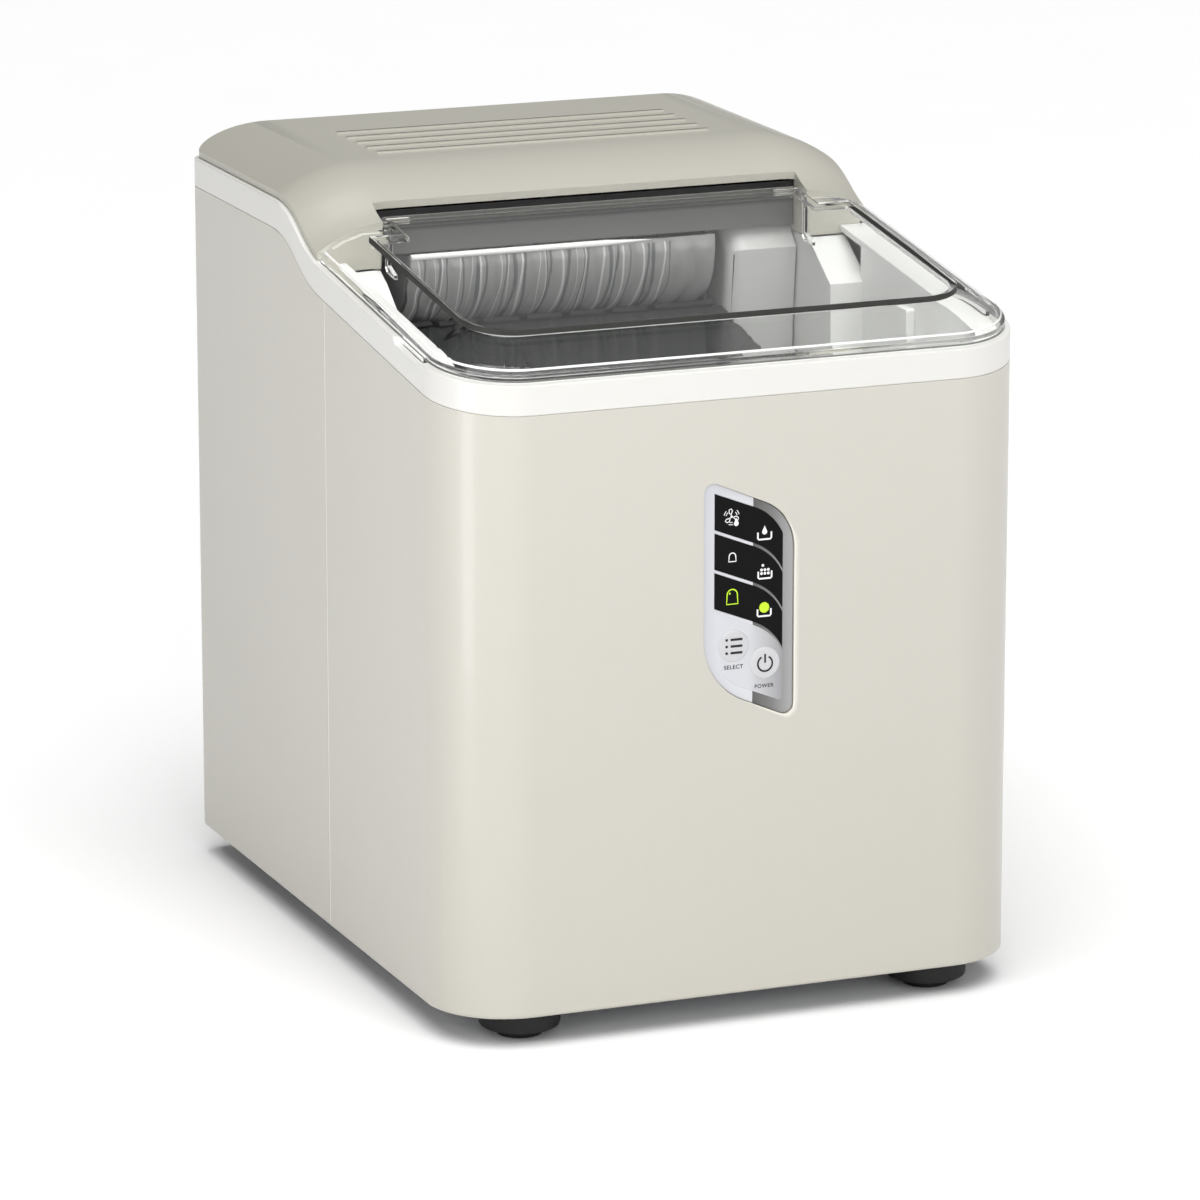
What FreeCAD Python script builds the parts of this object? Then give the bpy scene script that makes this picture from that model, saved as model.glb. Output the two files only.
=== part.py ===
import FreeCAD, Part
import math
import os

# Countertop bullet-ice maker.  Millimetres, +Z up, the control panel faces -Y,
# the origin is on the floor under the middle of the case.

os.makedirs("parts", exist_ok=True)
V = FreeCAD.Vector

# ---------------------------------------------------------------- driving dimensions
WIDTH = 221.0                  # case, side to side
DEPTH = 282.0                  # case, front to back
FOOT_HEIGHT = 11.0             # floor to the lower edge of the case
SHELL = 2.5                    # wall of the outer mouldings
FRONT_RADIUS = 29.5            # upright front corners, seen from above
REAR_RADIUS = 9.0              # upright rear corners
SEAM_Y = -10.5                 # joint between front panel and rear housing
SEAM_GAP = 0.4

BELT_FRONT_Z = 227.4           # lower edge of the trim band at the front
BELT_SLOPE = 0.1355            # rise of the band towards the back, mm per mm
BELT_REAR_Z = 262.2            # lower edge of the band along the rear
BELT_RAMP_DEG = 29.0           # steep part of the S curve
BELT_RAMP_POINT = (16.0, 252.85)
BELT_TOP_RADIUS = 48.0
BELT_FOOT_RADIUS = 62.0
BAND_HEIGHT = 10.7
BAND_WALL = 3.0

COVER_INSET = 1.75             # cover side wall, in from the case side
COVER_RISE = 12.3              # crown of the cover above the band
COVER_SIDE = 2.6               # upright part of the cover's side
COVER_FLAT = 78.0              # half width of the level part of the crown
COVER_WALL = 2.4
SLOT_HALF = 83.5               # opening that the lid's tongue fills
SLOT_REAR_Y = 12.0
EAR_FRONT_Y = 1.0              # front face of the two ears beside the slot
EAR_OUTER_X = 105.2
EAR_FLOOR_Z = 251.5
RIB_ROWS = (98.0, 87.0, 76.0, 65.0, 54.0)
RIB_HALF_LENGTH = 66.5

LID_HALF = 108.4
LID_WALL = 2.2
LID_FRONT_GAP = 1.8            # lid front edge, in from the case front
LID_REAR_Y = -0.5
LID_FLOOR_H = 0.6              # lid's lower edge above the band
LID_STEP = 2.0                 # height of the raised centre panel's edge
LID_STEP_REAR_Y = -12.0        # the raised panel narrows to the tongue here
# lid shoulder: inset at the sides, inset at the front, corner radius, height
LID_SECTIONS = (
    (0.0, 0.0, 28.0, 3.4),
    (1.1, 1.6, 27.2, 5.0),
    (7.2, 10.0, 23.0, 8.3),
    (14.3, 19.7, 18.0, 10.7),
)
TONGUE_HALF = 81.5
HINGE_V = 149.7                # hinge line in the lid's own plane
HINGE_H = 9.9
BARREL_RADIUS = 2.8
PIN_RADIUS = 1.4
PIN_X = (72.0, 91.0)
NOTCH_Y = (-110.0, -82.0)      # finger lip on each side of the lid
NOTCH_DROP = 2.2

TUB_HALF = 97.0                # inside of the front well
TUB_FRONT_Y = -128.0
TUB_STEP_Y = -20.0             # front well ends, narrower ice chamber begins
TUB_FLOOR_Z = 62.0
TUB_WALL = 2.0
CHAMBER_HALF = 84.0
CHAMBER_REAR_Y = 62.0
CHAMBER_TOP_Z = 262.0
SPOUT_AT = (26.0, 257.0)       # y, z of the water spout through the chamber wall

TRAY_AXIS = (35.0, 250.0)      # y, z of the line that tray and shovel turn about
TRAY_RADIUS = 26.0
TRAY_WALL = 2.0
TRAY_X = (-70.0, 50.0)
TRAY_RIDGES = 11
SHOVEL_RADIUS = (28.0, 30.0)
CHUTE_RADIUS = (31.4, 33.4)
CHUTE_SECTOR = (235.0, 318.0)
SHAFT_RADIUS = 3.0
MOTOR_COVER_SIDE = ((14.0, 206.0), (60.0, 206.0), (60.0, 261.0), (24.0, 261.0), (10.0, 246.0))
SHOVEL_SECTOR = (238.0, 286.0)
FINGER_RADIUS = 4.6
FINGER_TIP_Z = 232.0
FINGER_ROWS = ((28.0, (-58.0, -34.0, -10.0, 14.0, 38.0)), (42.0, (-46.0, -22.0, 2.0, 26.0)))

BASKET_HALF = 90.0
BASKET_Y = (-124.5, -26.0)
BASKET_Z = (130.3, 212.0)
BASKET_WALL = 1.8

PANEL_Z = 155.0                # centre of the control panel
PANEL_HALF_X = 17.2
PANEL_HALF_Z = 43.2
SCREEN_X = (-12.9, 13.1)
SCREEN_TOPS = (193.9, 179.7, 165.5)
SCREEN_HEIGHT = 13.0
BUTTON_RADIUS = 5.9
BUTTON_GAP = 0.35
SELECT_AT = (-5.6, 138.6)
POWER_AT = (6.3, 131.4)

BACK_RECESS = 4.5              # depth of the shallow panel in the back
BACK_HALF = 97.0
BACK_Z = (20.0, 246.0)
BACK_CORNER = 8.0
GRILLE_BACK = (-96.0, -8.0, 34.0, 132.0)       # x, x, z, z
GRILLE_SIDE = (28.0, 116.0, 40.0, 150.0)       # y, y, z, z
GRILLE_GAP = 0.3
SLAT = 3.2                     # width of a grille's slots
CASE_SCREWS = ((-88.0, 26.0), (88.0, 240.0), (-88.0, 240.0), (30.0, 26.0), (0.0, 240.0))
COMPRESSOR_AT = (38.0, 76.0)
COMPRESSOR_RADIUS = 44.0
COMPRESSOR_Z = (44.0, 134.0)   # upright part of its can
GROMMET_REACH = (33.0, 27.0)
CONDENSER_X = (-98.0, -10.0)
CONDENSER_Y = (108.0, 130.0)
CONDENSER_Z = (30.0, 134.0)
FAN_AT = (-54.0, 80.0)         # x, z of the fan axis
FAN_RADIUS = 40.0
PUMP_AT = (-50.0, -70.0)
TUB_DRAIN_AT = (86.0, -60.0)
FLOAT_AT = (82.0, -38.0)
FOOT_X = 79.0
FOOT_Y = (-121.0, 110.0)
DRAIN_AT = (86.0, 30.0)        # x, z
GLAND_AT = (60.0, 34.0)        # x, z
TUBE_RADIUS = 2.5

HALF_W = WIDTH / 2
HALF_D = DEPTH / 2
FAR = 400.0
BAND_FRONT_Z = BELT_FRONT_Z + BAND_HEIGHT
LID_TILT = math.atan(BELT_SLOPE)
BACK_Y = HALF_D - BACK_RECESS          # outer face of the recessed back
BEZEL_Y = -HALF_D + 0.7                # outer face of the control panel
PAN_FLOOR_Z = FOOT_HEIGHT + 2.5        # top of the base pan's floor


# ---------------------------------------------------------------- helpers
def block(x0, x1, y0, y1, z0, z1):
    return Part.makeBox(x1 - x0, y1 - y0, z1 - z0, V(x0, y0, z0))


def rod(radius, length, base, axis):
    return Part.makeCylinder(radius, length, V(*base), V(*axis))


def ring(outer, inner, length, base, axis):
    return rod(outer, length, base, axis).cut(rod(inner, length, base, axis))


def join(shapes):
    shapes = list(shapes)
    total = shapes[0]
    if len(shapes) > 1:
        total = total.fuse(shapes[1:])
    return total.removeSplitter()


def polygon(points):
    closed = [V(*p) for p in points]
    closed.append(closed[0])
    return Part.Face(Part.makePolygon(closed))


def side_prism(points, x0, x1):
    """A (y, z) outline carried from x0 to x1."""
    face = polygon([(x0, y, z) for y, z in points])
    return face.extrude(V(x1 - x0, 0, 0))


def arc(start, middle, end):
    return Part.Arc(V(*start), V(*middle), V(*end)).toShape()


def line(start, end):
    return Part.LineSegment(V(*start), V(*end)).toShape()


def round_rect_wire(x0, x1, y0, y1, radii, z):
    """Rounded rectangle; radii for the corners (x0,y0) (x1,y0) (x1,y1) (x0,y1)."""
    corners = ((x0, y0, 1, 1), (x1, y0, -1, 1), (x1, y1, -1, -1), (x0, y1, 1, -1))
    edges = []
    stops = []
    for index, (cx, cy, sx, sy) in enumerate(corners):
        r = radii[index]
        along_x = (cx + sx * r, cy, z)
        along_y = (cx, cy + sy * r, z)
        bulge = r * (1 - math.sqrt(0.5))
        middle = (cx + sx * bulge, cy + sy * bulge, z)
        enter, leave = (along_y, along_x) if index % 2 == 0 else (along_x, along_y)
        stops.append((enter, leave))
        if r > 0:
            edges.append(arc(enter, middle, leave))
    for index in range(4):
        edges.append(line(stops[index][1], stops[(index + 1) % 4][0]))
    return Part.Wire(Part.__sortEdges__(edges))


def round_box(x0, x1, y0, y1, z0, z1, radii):
    wire = round_rect_wire(x0, x1, y0, y1, radii, z0)
    return Part.Face(wire).extrude(V(0, 0, z1 - z0))


def case_prism(inset, z0, z1):
    """The case's plan outline, pulled in by inset, carried from z0 to z1."""
    front = FRONT_RADIUS - inset
    rear = max(REAR_RADIUS - inset, 1.0)
    x = HALF_W - inset
    y = HALF_D - inset
    return round_box(-x, x, -y, y, z0, z1, (front, front, rear, rear))


def belt_edges(lift, offset, rear_y, front_y):
    """The S curve in the plane x = 0, raised by lift and offset outwards."""
    ramp = math.radians(BELT_RAMP_DEG)
    tan_ramp = math.tan(ramp)
    rear_z = BELT_REAR_Z + lift + offset
    ramp_z = BELT_RAMP_POINT[1] + lift + offset / math.cos(ramp) - tan_ramp * BELT_RAMP_POINT[0]
    nose_z = BELT_FRONT_Z + lift + offset / math.cos(LID_TILT) + BELT_SLOPE * HALF_D
    top_y = (rear_z - ramp_z) / tan_ramp
    foot_y = (nose_z - ramp_z) / (tan_ramp - BELT_SLOPE)
    points = (
        (rear_y, rear_z),
        (top_y, rear_z),
        (foot_y, nose_z + BELT_SLOPE * foot_y),
        (front_y, nose_z + BELT_SLOPE * front_y),
    )
    radii = (BELT_TOP_RADIUS + offset, BELT_FOOT_RADIUS - offset)
    return filleted_run([(0.0, y, z) for y, z in points], radii)


def filleted_run(points, radii):
    """Straight runs through the points, joined by tangent arcs of the given radii."""
    edges = []
    start = V(*points[0])
    for index in range(1, len(points) - 1):
        corner = V(*points[index])
        back = (V(*points[index - 1]) - corner).normalize()
        ahead = (V(*points[index + 1]) - corner).normalize()
        half_turn = (math.pi - back.getAngle(ahead)) / 2
        radius = radii[index - 1]
        reach = radius * math.tan(half_turn)
        inward = (back + ahead).normalize()
        first = corner + back * reach
        last = corner + ahead * reach
        middle = corner + inward * (radius / math.cos(half_turn) - radius)
        edges.append(Part.LineSegment(start, first).toShape())
        edges.append(Part.Arc(first, middle, last).toShape())
        start = last
    edges.append(Part.LineSegment(start, V(*points[-1])).toShape())
    return edges


def under_belt(lift, offset, floor_z):
    """Everything below the S curve, wide enough for the whole case."""
    edges = belt_edges(lift, offset, FAR, -FAR)
    rear_top = edges[0].Vertexes[0].Point
    front_top = edges[-1].Vertexes[-1].Point
    floor_front = V(0, front_top.y, floor_z)
    floor_rear = V(0, rear_top.y, floor_z)
    edges.append(Part.LineSegment(front_top, floor_front).toShape())
    edges.append(Part.LineSegment(floor_front, floor_rear).toShape())
    edges.append(Part.LineSegment(floor_rear, rear_top).toShape())
    face = Part.Face(Part.Wire(edges))
    face.translate(V(-FAR / 2, 0, 0))
    return face.extrude(V(FAR, 0, 0))


def crown_section(inset, floor_h, y, z):
    """Cross-section of the cover: level crown, round shoulders, upright sides."""
    half = HALF_W - COVER_INSET - inset
    crown = COVER_RISE - inset
    side = COVER_SIDE - inset
    drop = crown - side
    run = half - COVER_FLAT
    radius = (run * run + drop * drop) / (2 * drop)
    turn = math.asin(run / radius) / 2
    mid_x = COVER_FLAT + radius * math.sin(turn)
    mid_h = crown - radius * (1 - math.cos(turn))
    right = (half, y, z + side)
    right_mid = (mid_x, y, z + mid_h)
    right_flat = (COVER_FLAT, y, z + crown)
    left = (-half, y, z + side)
    left_mid = (-mid_x, y, z + mid_h)
    left_flat = (-COVER_FLAT, y, z + crown)
    edges = [
        line((half, y, z + floor_h), right),
        arc(right, right_mid, right_flat),
        line(right_flat, left_flat),
        arc(left_flat, left_mid, left),
        line(left, (-half, y, z + floor_h)),
        line((-half, y, z + floor_h), (half, y, z + floor_h)),
    ]
    return Part.Face(Part.Wire(edges))


def crown_sweep(inset, floor_h):
    """The cover's cross-section carried along the top edge of the band."""
    start_y = HALF_D + 20
    path = Part.Wire(belt_edges(BAND_HEIGHT, 0.0, start_y, -HALF_D - 20))
    section = crown_section(inset, floor_h, start_y, BELT_REAR_Z + BAND_HEIGHT)
    return path.makePipe(section)


def lid_to_case(shape):
    """From the lid's own plane (x, v, h) to the case's frame."""
    placed = shape.copy()
    placed.rotate(V(0, 0, 0), V(1, 0, 0), math.degrees(LID_TILT))
    placed.translate(V(0, -HALF_D, BAND_FRONT_Z))
    return placed


def lid_plane_point(v, h):
    y = -HALF_D + v * math.cos(LID_TILT) - h * math.sin(LID_TILT)
    z = BAND_FRONT_Z + v * math.sin(LID_TILT) + h * math.cos(LID_TILT)
    return y, z


def pipe(points, radius, bend):
    """A round tube's solid along straight runs with tangent bends."""
    edges = filleted_run(points, [bend] * (len(points) - 2))
    path = Part.Wire(edges)
    start = V(*points[0])
    heading = (V(*points[1]) - start).normalize()
    profile = Part.Wire(Part.makeCircle(radius, start, heading))
    return path.makePipeShell([profile], True, False)


def sector_prism(axis, inner, outer, deg0, deg1, x0, x1):
    """Part of a drum about an X axis between two angles in the y-z plane."""
    def at(radius, deg):
        angle = math.radians(deg)
        return (x0, axis[0] + radius * math.cos(angle), axis[1] + radius * math.sin(angle))
    mid = (deg0 + deg1) / 2
    edges = [
        arc(at(outer, deg0), at(outer, mid), at(outer, deg1)),
        line(at(outer, deg1), at(inner, deg1)),
        arc(at(inner, deg1), at(inner, mid), at(inner, deg0)),
        line(at(inner, deg0), at(outer, deg0)),
    ]
    return Part.Face(Part.Wire(edges)).extrude(V(x1 - x0, 0, 0))


def fillet_where(shape, radius, keep):
    """Round the edges that keep() accepts, or return the shape as it was."""
    edges = [edge for edge in shape.Edges if keep(edge)]
    if not edges:
        return shape
    try:
        rounded = shape.makeFillet(radius, edges)
    except Part.OCCError:
        return shape
    return rounded if rounded.isValid() and rounded.Volume > 0 else shape


def export(name, shape):
    shape.exportStep("parts/" + name + ".step")
    solids = shape.Solids
    volume = sum(solid.Volume for solid in solids) / 1000.0
    print("%-22s solids %2d  volume %8.2f cm3  valid %s" % (name, len(solids), volume, shape.isValid()))


# ---------------------------------------------------------------- outer shells
def case_shell():
    """One-piece case wall below the band, before it is split at the seam."""
    outer = case_prism(0.0, FOOT_HEIGHT, FAR)
    outer = outer.common(under_belt(0.0, 0.0, 0.0))
    outer = fillet_where(outer, 1.5, lambda e: e.BoundBox.ZMax < FOOT_HEIGHT + 0.01)
    return outer.cut(case_prism(SHELL, 0.0, FAR))


def seam_groove():
    size = 0.7
    cutters = []
    for x in (-HALF_W, HALF_W):
        points = [(x - size, SEAM_Y, 0), (x, SEAM_Y - size, 0), (x + size, SEAM_Y, 0), (x, SEAM_Y + size, 0)]
        cutters.append(polygon(points).extrude(V(0, 0, FAR)))
    return cutters


def leaf_face(shrink, y):
    """The control panel's outline: two tight corners, a curved shoulder and a longer curved heel."""
    hx = PANEL_HALF_X - shrink
    hz = PANEL_HALF_Z - shrink
    def at(x, z):
        return (x, y, PANEL_Z + z)
    def opposite(p):
        return (-p[0], y, 2 * PANEL_Z - p[2])
    left_top = at(-hx, hz - 5.0)
    nose = at(-hx + 1.3, hz - 1.2)
    top_start = at(-hx + 4.8, hz - 0.7)
    shoulder = (at(6.0, hz - 8.55), at(hx - 3.85, hz - 14.2), at(hx, hz - 24.6))
    heel = (at(-2.0, -hz * 0.84), at(-hx * 0.70, -hz * 0.66), at(-hx, -hz * 0.26))
    edges = [
        line(heel[2], left_top),
        arc(left_top, nose, top_start),
        line(top_start, shoulder[0]),
        arc(*shoulder),
        line(shoulder[2], opposite(left_top)),
        arc(opposite(left_top), opposite(nose), opposite(top_start)),
        line(opposite(top_start), heel[0]),
        arc(*heel),
    ]
    return Part.Face(Part.Wire(edges))


def leaf_prism(shrink, y0, y1):
    return leaf_face(shrink, y0).extrude(V(0, y1 - y0, 0))


def front_panel(shell):
    part = shell.common(block(-FAR, FAR, -FAR, SEAM_Y - SEAM_GAP / 2, 0, FAR))
    part = part.cut(seam_groove())
    return part.cut(leaf_prism(0.0, -HALF_D - 5, -HALF_D + 5))


def rear_housing(shell):
    part = shell.common(block(-FAR, FAR, SEAM_Y + SEAM_GAP / 2, FAR, 0, FAR))
    part = part.cut(seam_groove())
    low, high = BACK_Z
    part = part.cut(round_back((-BACK_HALF, BACK_HALF, BACK_Y - SHELL, FAR, low, high), BACK_CORNER))
    pan = round_back((-BACK_HALF - SHELL, BACK_HALF + SHELL, BACK_Y - SHELL, HALF_D, low - SHELL, high + SHELL),
                     BACK_CORNER + 2.0)
    pan = pan.cut(round_back((-BACK_HALF, BACK_HALF, BACK_Y, FAR, low, high), BACK_CORNER))
    part = part.fuse(pan.common(case_prism(0.2, 0, FAR))).removeSplitter()
    x0, x1, z0, z1 = GRILLE_BACK
    part = part.cut(block(x0, x1, BACK_Y - 10, FAR, z0, z1))
    y0, y1, z0, z1 = GRILLE_SIDE
    part = part.cut(block(HALF_W - 10, FAR, y0, y1, z0, z1))
    part = part.cut(rod(7.0, 20, (DRAIN_AT[0], BACK_Y - 10, DRAIN_AT[1]), (0, 1, 0)))
    part = part.cut(rod(6.0, 20, (GLAND_AT[0], BACK_Y - 10, GLAND_AT[1]), (0, 1, 0)))
    for x, z in CASE_SCREWS:
        part = part.cut(rod(1.6, 20, (x, BACK_Y - 10, z), (0, 1, 0)))
    return part


def round_back(limits, radius):
    """A block with its four long edges (along y) rounded."""
    x0, x1, y0, y1, z0, z1 = limits
    flat = round_box(x0, x1, z0, z1, 0, y1 - y0, (radius,) * 4)
    flat.rotate(V(0, 0, 0), V(1, 0, 0), 90)
    flat.translate(V(0, y1, 0))
    return flat


def case_screws():
    screws = []
    for x, z in CASE_SCREWS:
        head = rod(3.2, 2.0, (x, BACK_Y, z), (0, 1, 0))
        cross = block(x - 2.0, x + 2.0, BACK_Y + 1.0, BACK_Y + 3, z - 0.4, z + 0.4)
        cross = cross.fuse(block(x - 0.4, x + 0.4, BACK_Y + 1.0, BACK_Y + 3, z - 2.0, z + 2.0))
        shank = rod(1.5, 9.0, (x, BACK_Y - 9.0, z), (0, 1, 0))
        screws.append(head.cut(cross).fuse(shank).removeSplitter())
    return Part.makeCompound(screws)


def grille_slots(count, low, high):
    """Evenly pitched slots between low and high."""
    pitch = (high - low) / count
    middles = [low + (i + 0.5) * pitch for i in range(count)]
    return [(middle - SLAT / 2, middle + SLAT / 2) for middle in middles]


def rear_grille():
    x0, x1, z0, z1 = GRILLE_BACK
    gap = GRILLE_GAP
    plate = block(x0 + gap, x1 - gap, BACK_Y - SHELL, BACK_Y, z0 + gap, z1 - gap)
    middle = (x0 + x1) / 2
    slots = []
    for s0, s1 in grille_slots(13, z0 + 5, z1 - 5):
        slots.append(block(x0 + 6, middle - 3, BACK_Y - 10, FAR, s0, s1))
        slots.append(block(middle + 3, x1 - 6, BACK_Y - 10, FAR, s0, s1))
    return plate.cut(slots)


def side_grille():
    y0, y1, z0, z1 = GRILLE_SIDE
    gap = GRILLE_GAP
    plate = block(HALF_W - SHELL, HALF_W, y0 + gap, y1 - gap, z0 + gap, z1 - gap)
    slots = []
    for s0, s1 in grille_slots(11, y0 + 5, y1 - 5):
        slots.append(block(HALF_W - 10, FAR, s0, s1, z0 + 8, z1 - 8))
    return plate.cut(slots)


def cord_gland():
    x, z = GLAND_AT
    collar = rod(9.0, 1.8, (x, BACK_Y, z), (0, 1, 0))
    neck = rod(5.9, 9.0, (x, BACK_Y - 9.0, z), (0, 1, 0))
    return collar.fuse(neck).removeSplitter().cut(rod(3.6, 20, (x, BACK_Y - 12, z), (0, 1, 0)))


def drain_outlet():
    x, z = DRAIN_AT
    collar = rod(9.0, 1.2, (x, BACK_Y, z), (0, 1, 0))
    neck = rod(6.9, 16.0, (x, BACK_Y - 16.0, z), (0, 1, 0))
    return collar.fuse(neck).removeSplitter().cut(rod(4.4, 30, (x, BACK_Y - 20, z), (0, 1, 0)))


def drain_plug():
    x, z = DRAIN_AT
    head = rod(8.0, 2.4, (x, BACK_Y + 1.5, z), (0, 1, 0))
    stem = rod(4.35, 10.0, (x, BACK_Y - 8.5, z), (0, 1, 0))
    return head.fuse(stem).removeSplitter()


def trim_band():
    tall = case_prism(0.0, 200, FAR).cut(case_prism(BAND_WALL, 190, FAR + 1))
    ring_part = tall.common(under_belt(BAND_HEIGHT, 0.0, 0.0)).cut(under_belt(0.0, 0.0, -1.0))
    y0, y1 = NOTCH_Y
    notch = side_prism(
        [(y0, band_z(y0) + 0.01), (y0 + 2, band_z(y0 + 2) - NOTCH_DROP),
         (y1 - 2, band_z(y1 - 2) - NOTCH_DROP), (y1, band_z(y1) + 0.01),
         (y1, band_z(y1) + 3), (y0, band_z(y0) + 3)],
        -FAR, FAR)
    return ring_part.cut(notch)


def band_z(y):
    """Top of the band on its long front slope."""
    return BAND_FRONT_Z + BELT_SLOPE * (y + HALF_D)


def top_cover():
    outer = crown_sweep(0.0, 0.3).common(case_prism(COVER_INSET, 200, FAR))
    edge = 5.0
    rear_y = HALF_D - COVER_INSET
    crown_z = BELT_REAR_Z + BAND_HEIGHT + COVER_RISE
    rear_edge = block(-FAR, FAR, rear_y - edge, FAR, crown_z - edge, FAR)
    rear_edge = rear_edge.cut(rod(edge, 2 * FAR, (-FAR, rear_y - edge, crown_z - edge), (1, 0, 0)))
    outer = outer.cut(rear_edge)
    inner = crown_sweep(COVER_WALL, -20.0).common(case_prism(COVER_INSET + COVER_WALL, 190, FAR))
    shell = outer.cut(inner)
    ears = []
    core = crown_sweep(COVER_WALL / 2, -20.0)
    for side in (-1, 1):
        x0, x1 = sorted((side * SLOT_HALF, side * EAR_OUTER_X))
        ears.append(core.common(block(x0, x1, EAR_FRONT_Y, SLOT_REAR_Y + 4.5, EAR_FLOOR_Z, FAR)))
    body = shell.cut(block(-FAR, FAR, -FAR, EAR_FRONT_Y, 190, FAR))
    body = body.cut(block(-SLOT_HALF, SLOT_HALF, -FAR, SLOT_REAR_Y, 190, FAR))
    body = body.fuse(ears).removeSplitter()
    hinge_y, hinge_z = lid_plane_point(HINGE_V, HINGE_H)
    body = body.cut(rod(PIN_RADIUS, 2 * PIN_X[1], (-PIN_X[1], hinge_y, hinge_z), (1, 0, 0)))
    ribs = []
    for y in RIB_ROWS:
        rib = round_box(-RIB_HALF_LENGTH, RIB_HALF_LENGTH, y - 0.9, y + 0.9,
                        crown_z - 1.0, crown_z + 0.7, (0.85,) * 4)
        ribs.append(rib)
    return body.fuse(ribs).removeSplitter()


def hinge_pins():
    y, z = lid_plane_point(HINGE_V, HINGE_H)
    length = PIN_X[1] - PIN_X[0]
    pins = [rod(PIN_RADIUS, length, (x, y, z), (1, 0, 0)) for x in (-PIN_X[1], PIN_X[0])]
    return Part.makeCompound(pins)


# ---------------------------------------------------------------- lid
def lid_outline(side, front, radius, h, rear_v):
    x = LID_HALF - side
    v = LID_FRONT_GAP + front
    bulge = radius * (1 - math.sqrt(0.5))
    edges = [
        line((-x, rear_v, h), (-x, v + radius, h)),
        arc((-x, v + radius, h), (-x + bulge, v + bulge, h), (-x + radius, v, h)),
        line((-x + radius, v, h), (x - radius, v, h)),
        arc((x - radius, v, h), (x - bulge, v + bulge, h), (x, v + radius, h)),
        line((x, v + radius, h), (x, rear_v, h)),
        line((x, rear_v, h), (-x, rear_v, h)),
    ]
    return Part.Wire(edges)


def lid_block(inset, rear_v, floor_h):
    """The lid's outer form, or its hollow when inset is the wall."""
    first = LID_SECTIONS[0]
    wires = [lid_outline(inset, inset, first[2] - inset, floor_h, rear_v)]
    for side, front, radius, h in LID_SECTIONS:
        wires.append(lid_outline(side + inset, front + inset, radius - inset, h - inset, rear_v))
    shoulder = Part.makeLoft(wires, True, True)
    side, front, radius, h = LID_SECTIONS[-1]
    step_rear = (LID_STEP_REAR_Y + HALF_D) / math.cos(LID_TILT) - inset
    step = Part.Face(lid_outline(side + inset, front + inset, radius - inset, h - inset - 0.5, step_rear))
    return shoulder.fuse(step.extrude(V(0, 0, LID_STEP + 0.5)))


def lid():
    rear_v = (LID_REAR_Y + HALF_D) / math.cos(LID_TILT) + 0.4
    top_h = LID_SECTIONS[-1][3] + LID_STEP
    neck_v = (LID_STEP_REAR_Y + HALF_D) / math.cos(LID_TILT) - LID_WALL
    shell = lid_block(0.0, rear_v, LID_FLOOR_H)
    tongue = block(-TONGUE_HALF, TONGUE_HALF, neck_v, HINGE_V, top_h - 2 * LID_WALL, top_h)
    shell = shell.fuse(tongue)
    shell = shell.cut(lid_block(LID_WALL, rear_v + 10.0, -5.0))
    inner_half = TONGUE_HALF - LID_WALL
    shell = shell.cut(block(-inner_half, inner_half, neck_v - 1.0, HINGE_V + 5.0, -5.0, top_h - LID_WALL))
    barrel = rod(BARREL_RADIUS, 2 * TONGUE_HALF, (-TONGUE_HALF, HINGE_V, HINGE_H), (1, 0, 0))
    shell = shell.fuse(barrel)
    bore = PIN_RADIUS + 0.05
    depth = TONGUE_HALF - PIN_X[0] + 0.5
    for x in (-TONGUE_HALF, PIN_X[0] - 0.5):
        shell = shell.cut(rod(bore, depth, (x, HINGE_V, HINGE_H), (1, 0, 0)))
    placed = lid_to_case(shell.removeSplitter())
    tabs = []
    for side in (-1, 1):
        x0, x1 = sorted((side * LID_HALF, side * (LID_HALF - LID_WALL)))
        y0, y1 = NOTCH_Y[0] + 2.6, NOTCH_Y[1] - 2.6
        drop = NOTCH_DROP - 0.4
        tabs.append(side_prism(
            [(y0, band_z(y0) - drop), (y1, band_z(y1) - drop),
             (y1, band_z(y1) + 1.5), (y0, band_z(y0) + 1.5)], x0, x1))
    return placed.fuse(tabs).removeSplitter()


# ---------------------------------------------------------------- base and feet
def base_pan():
    inset = SHELL + 0.3
    pan = case_prism(inset, FOOT_HEIGHT + 1.0, FOOT_HEIGHT + 6.3)
    pan = pan.cut(case_prism(inset + 1.5, PAN_FLOOR_Z, FOOT_HEIGHT + 20.0))
    holes = [rod(2.2, 20, (x, y, 5), (0, 0, 1)) for x in (-FOOT_X, FOOT_X) for y in FOOT_Y]
    return pan.cut(holes)


def feet():
    group = []
    for x in (-FOOT_X, FOOT_X):
        for y in FOOT_Y:
            pad = rod(8.5, 4.0, (x, y, 0), (0, 0, 1))
            body = Part.makeCone(14.0, 15.0, 8.7, V(x, y, 3.3), V(0, 0, 1))
            stud = rod(2.1, 5.0, (x, y, 12.0), (0, 0, 1))
            foot = join([pad, body, stud])
            group.append(fillet_where(foot, 1.0, lambda e: e.BoundBox.ZMax < 0.01))
    return Part.makeCompound(group)


# ---------------------------------------------------------------- tub and basket
def rim_top(extra):
    """Everything below the tub's sloping rim."""
    y0, y1 = -HALF_D - 20.0, 120.0
    drop = 2.6
    points = [(y0, band_z(y0) - drop + extra), (y1, band_z(y1) - drop + extra), (y1, 0.0), (y0, 0.0)]
    return side_prism(points, -FAR, FAR)


def well(grow, floor_z, rear_y):
    """The front well as a block, grown on every side."""
    x = TUB_HALF + grow
    return round_box(-x, x, TUB_FRONT_Y - grow, rear_y, floor_z, FAR, (14.0 + grow, 14.0 + grow, 0.0, 0.0))


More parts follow.
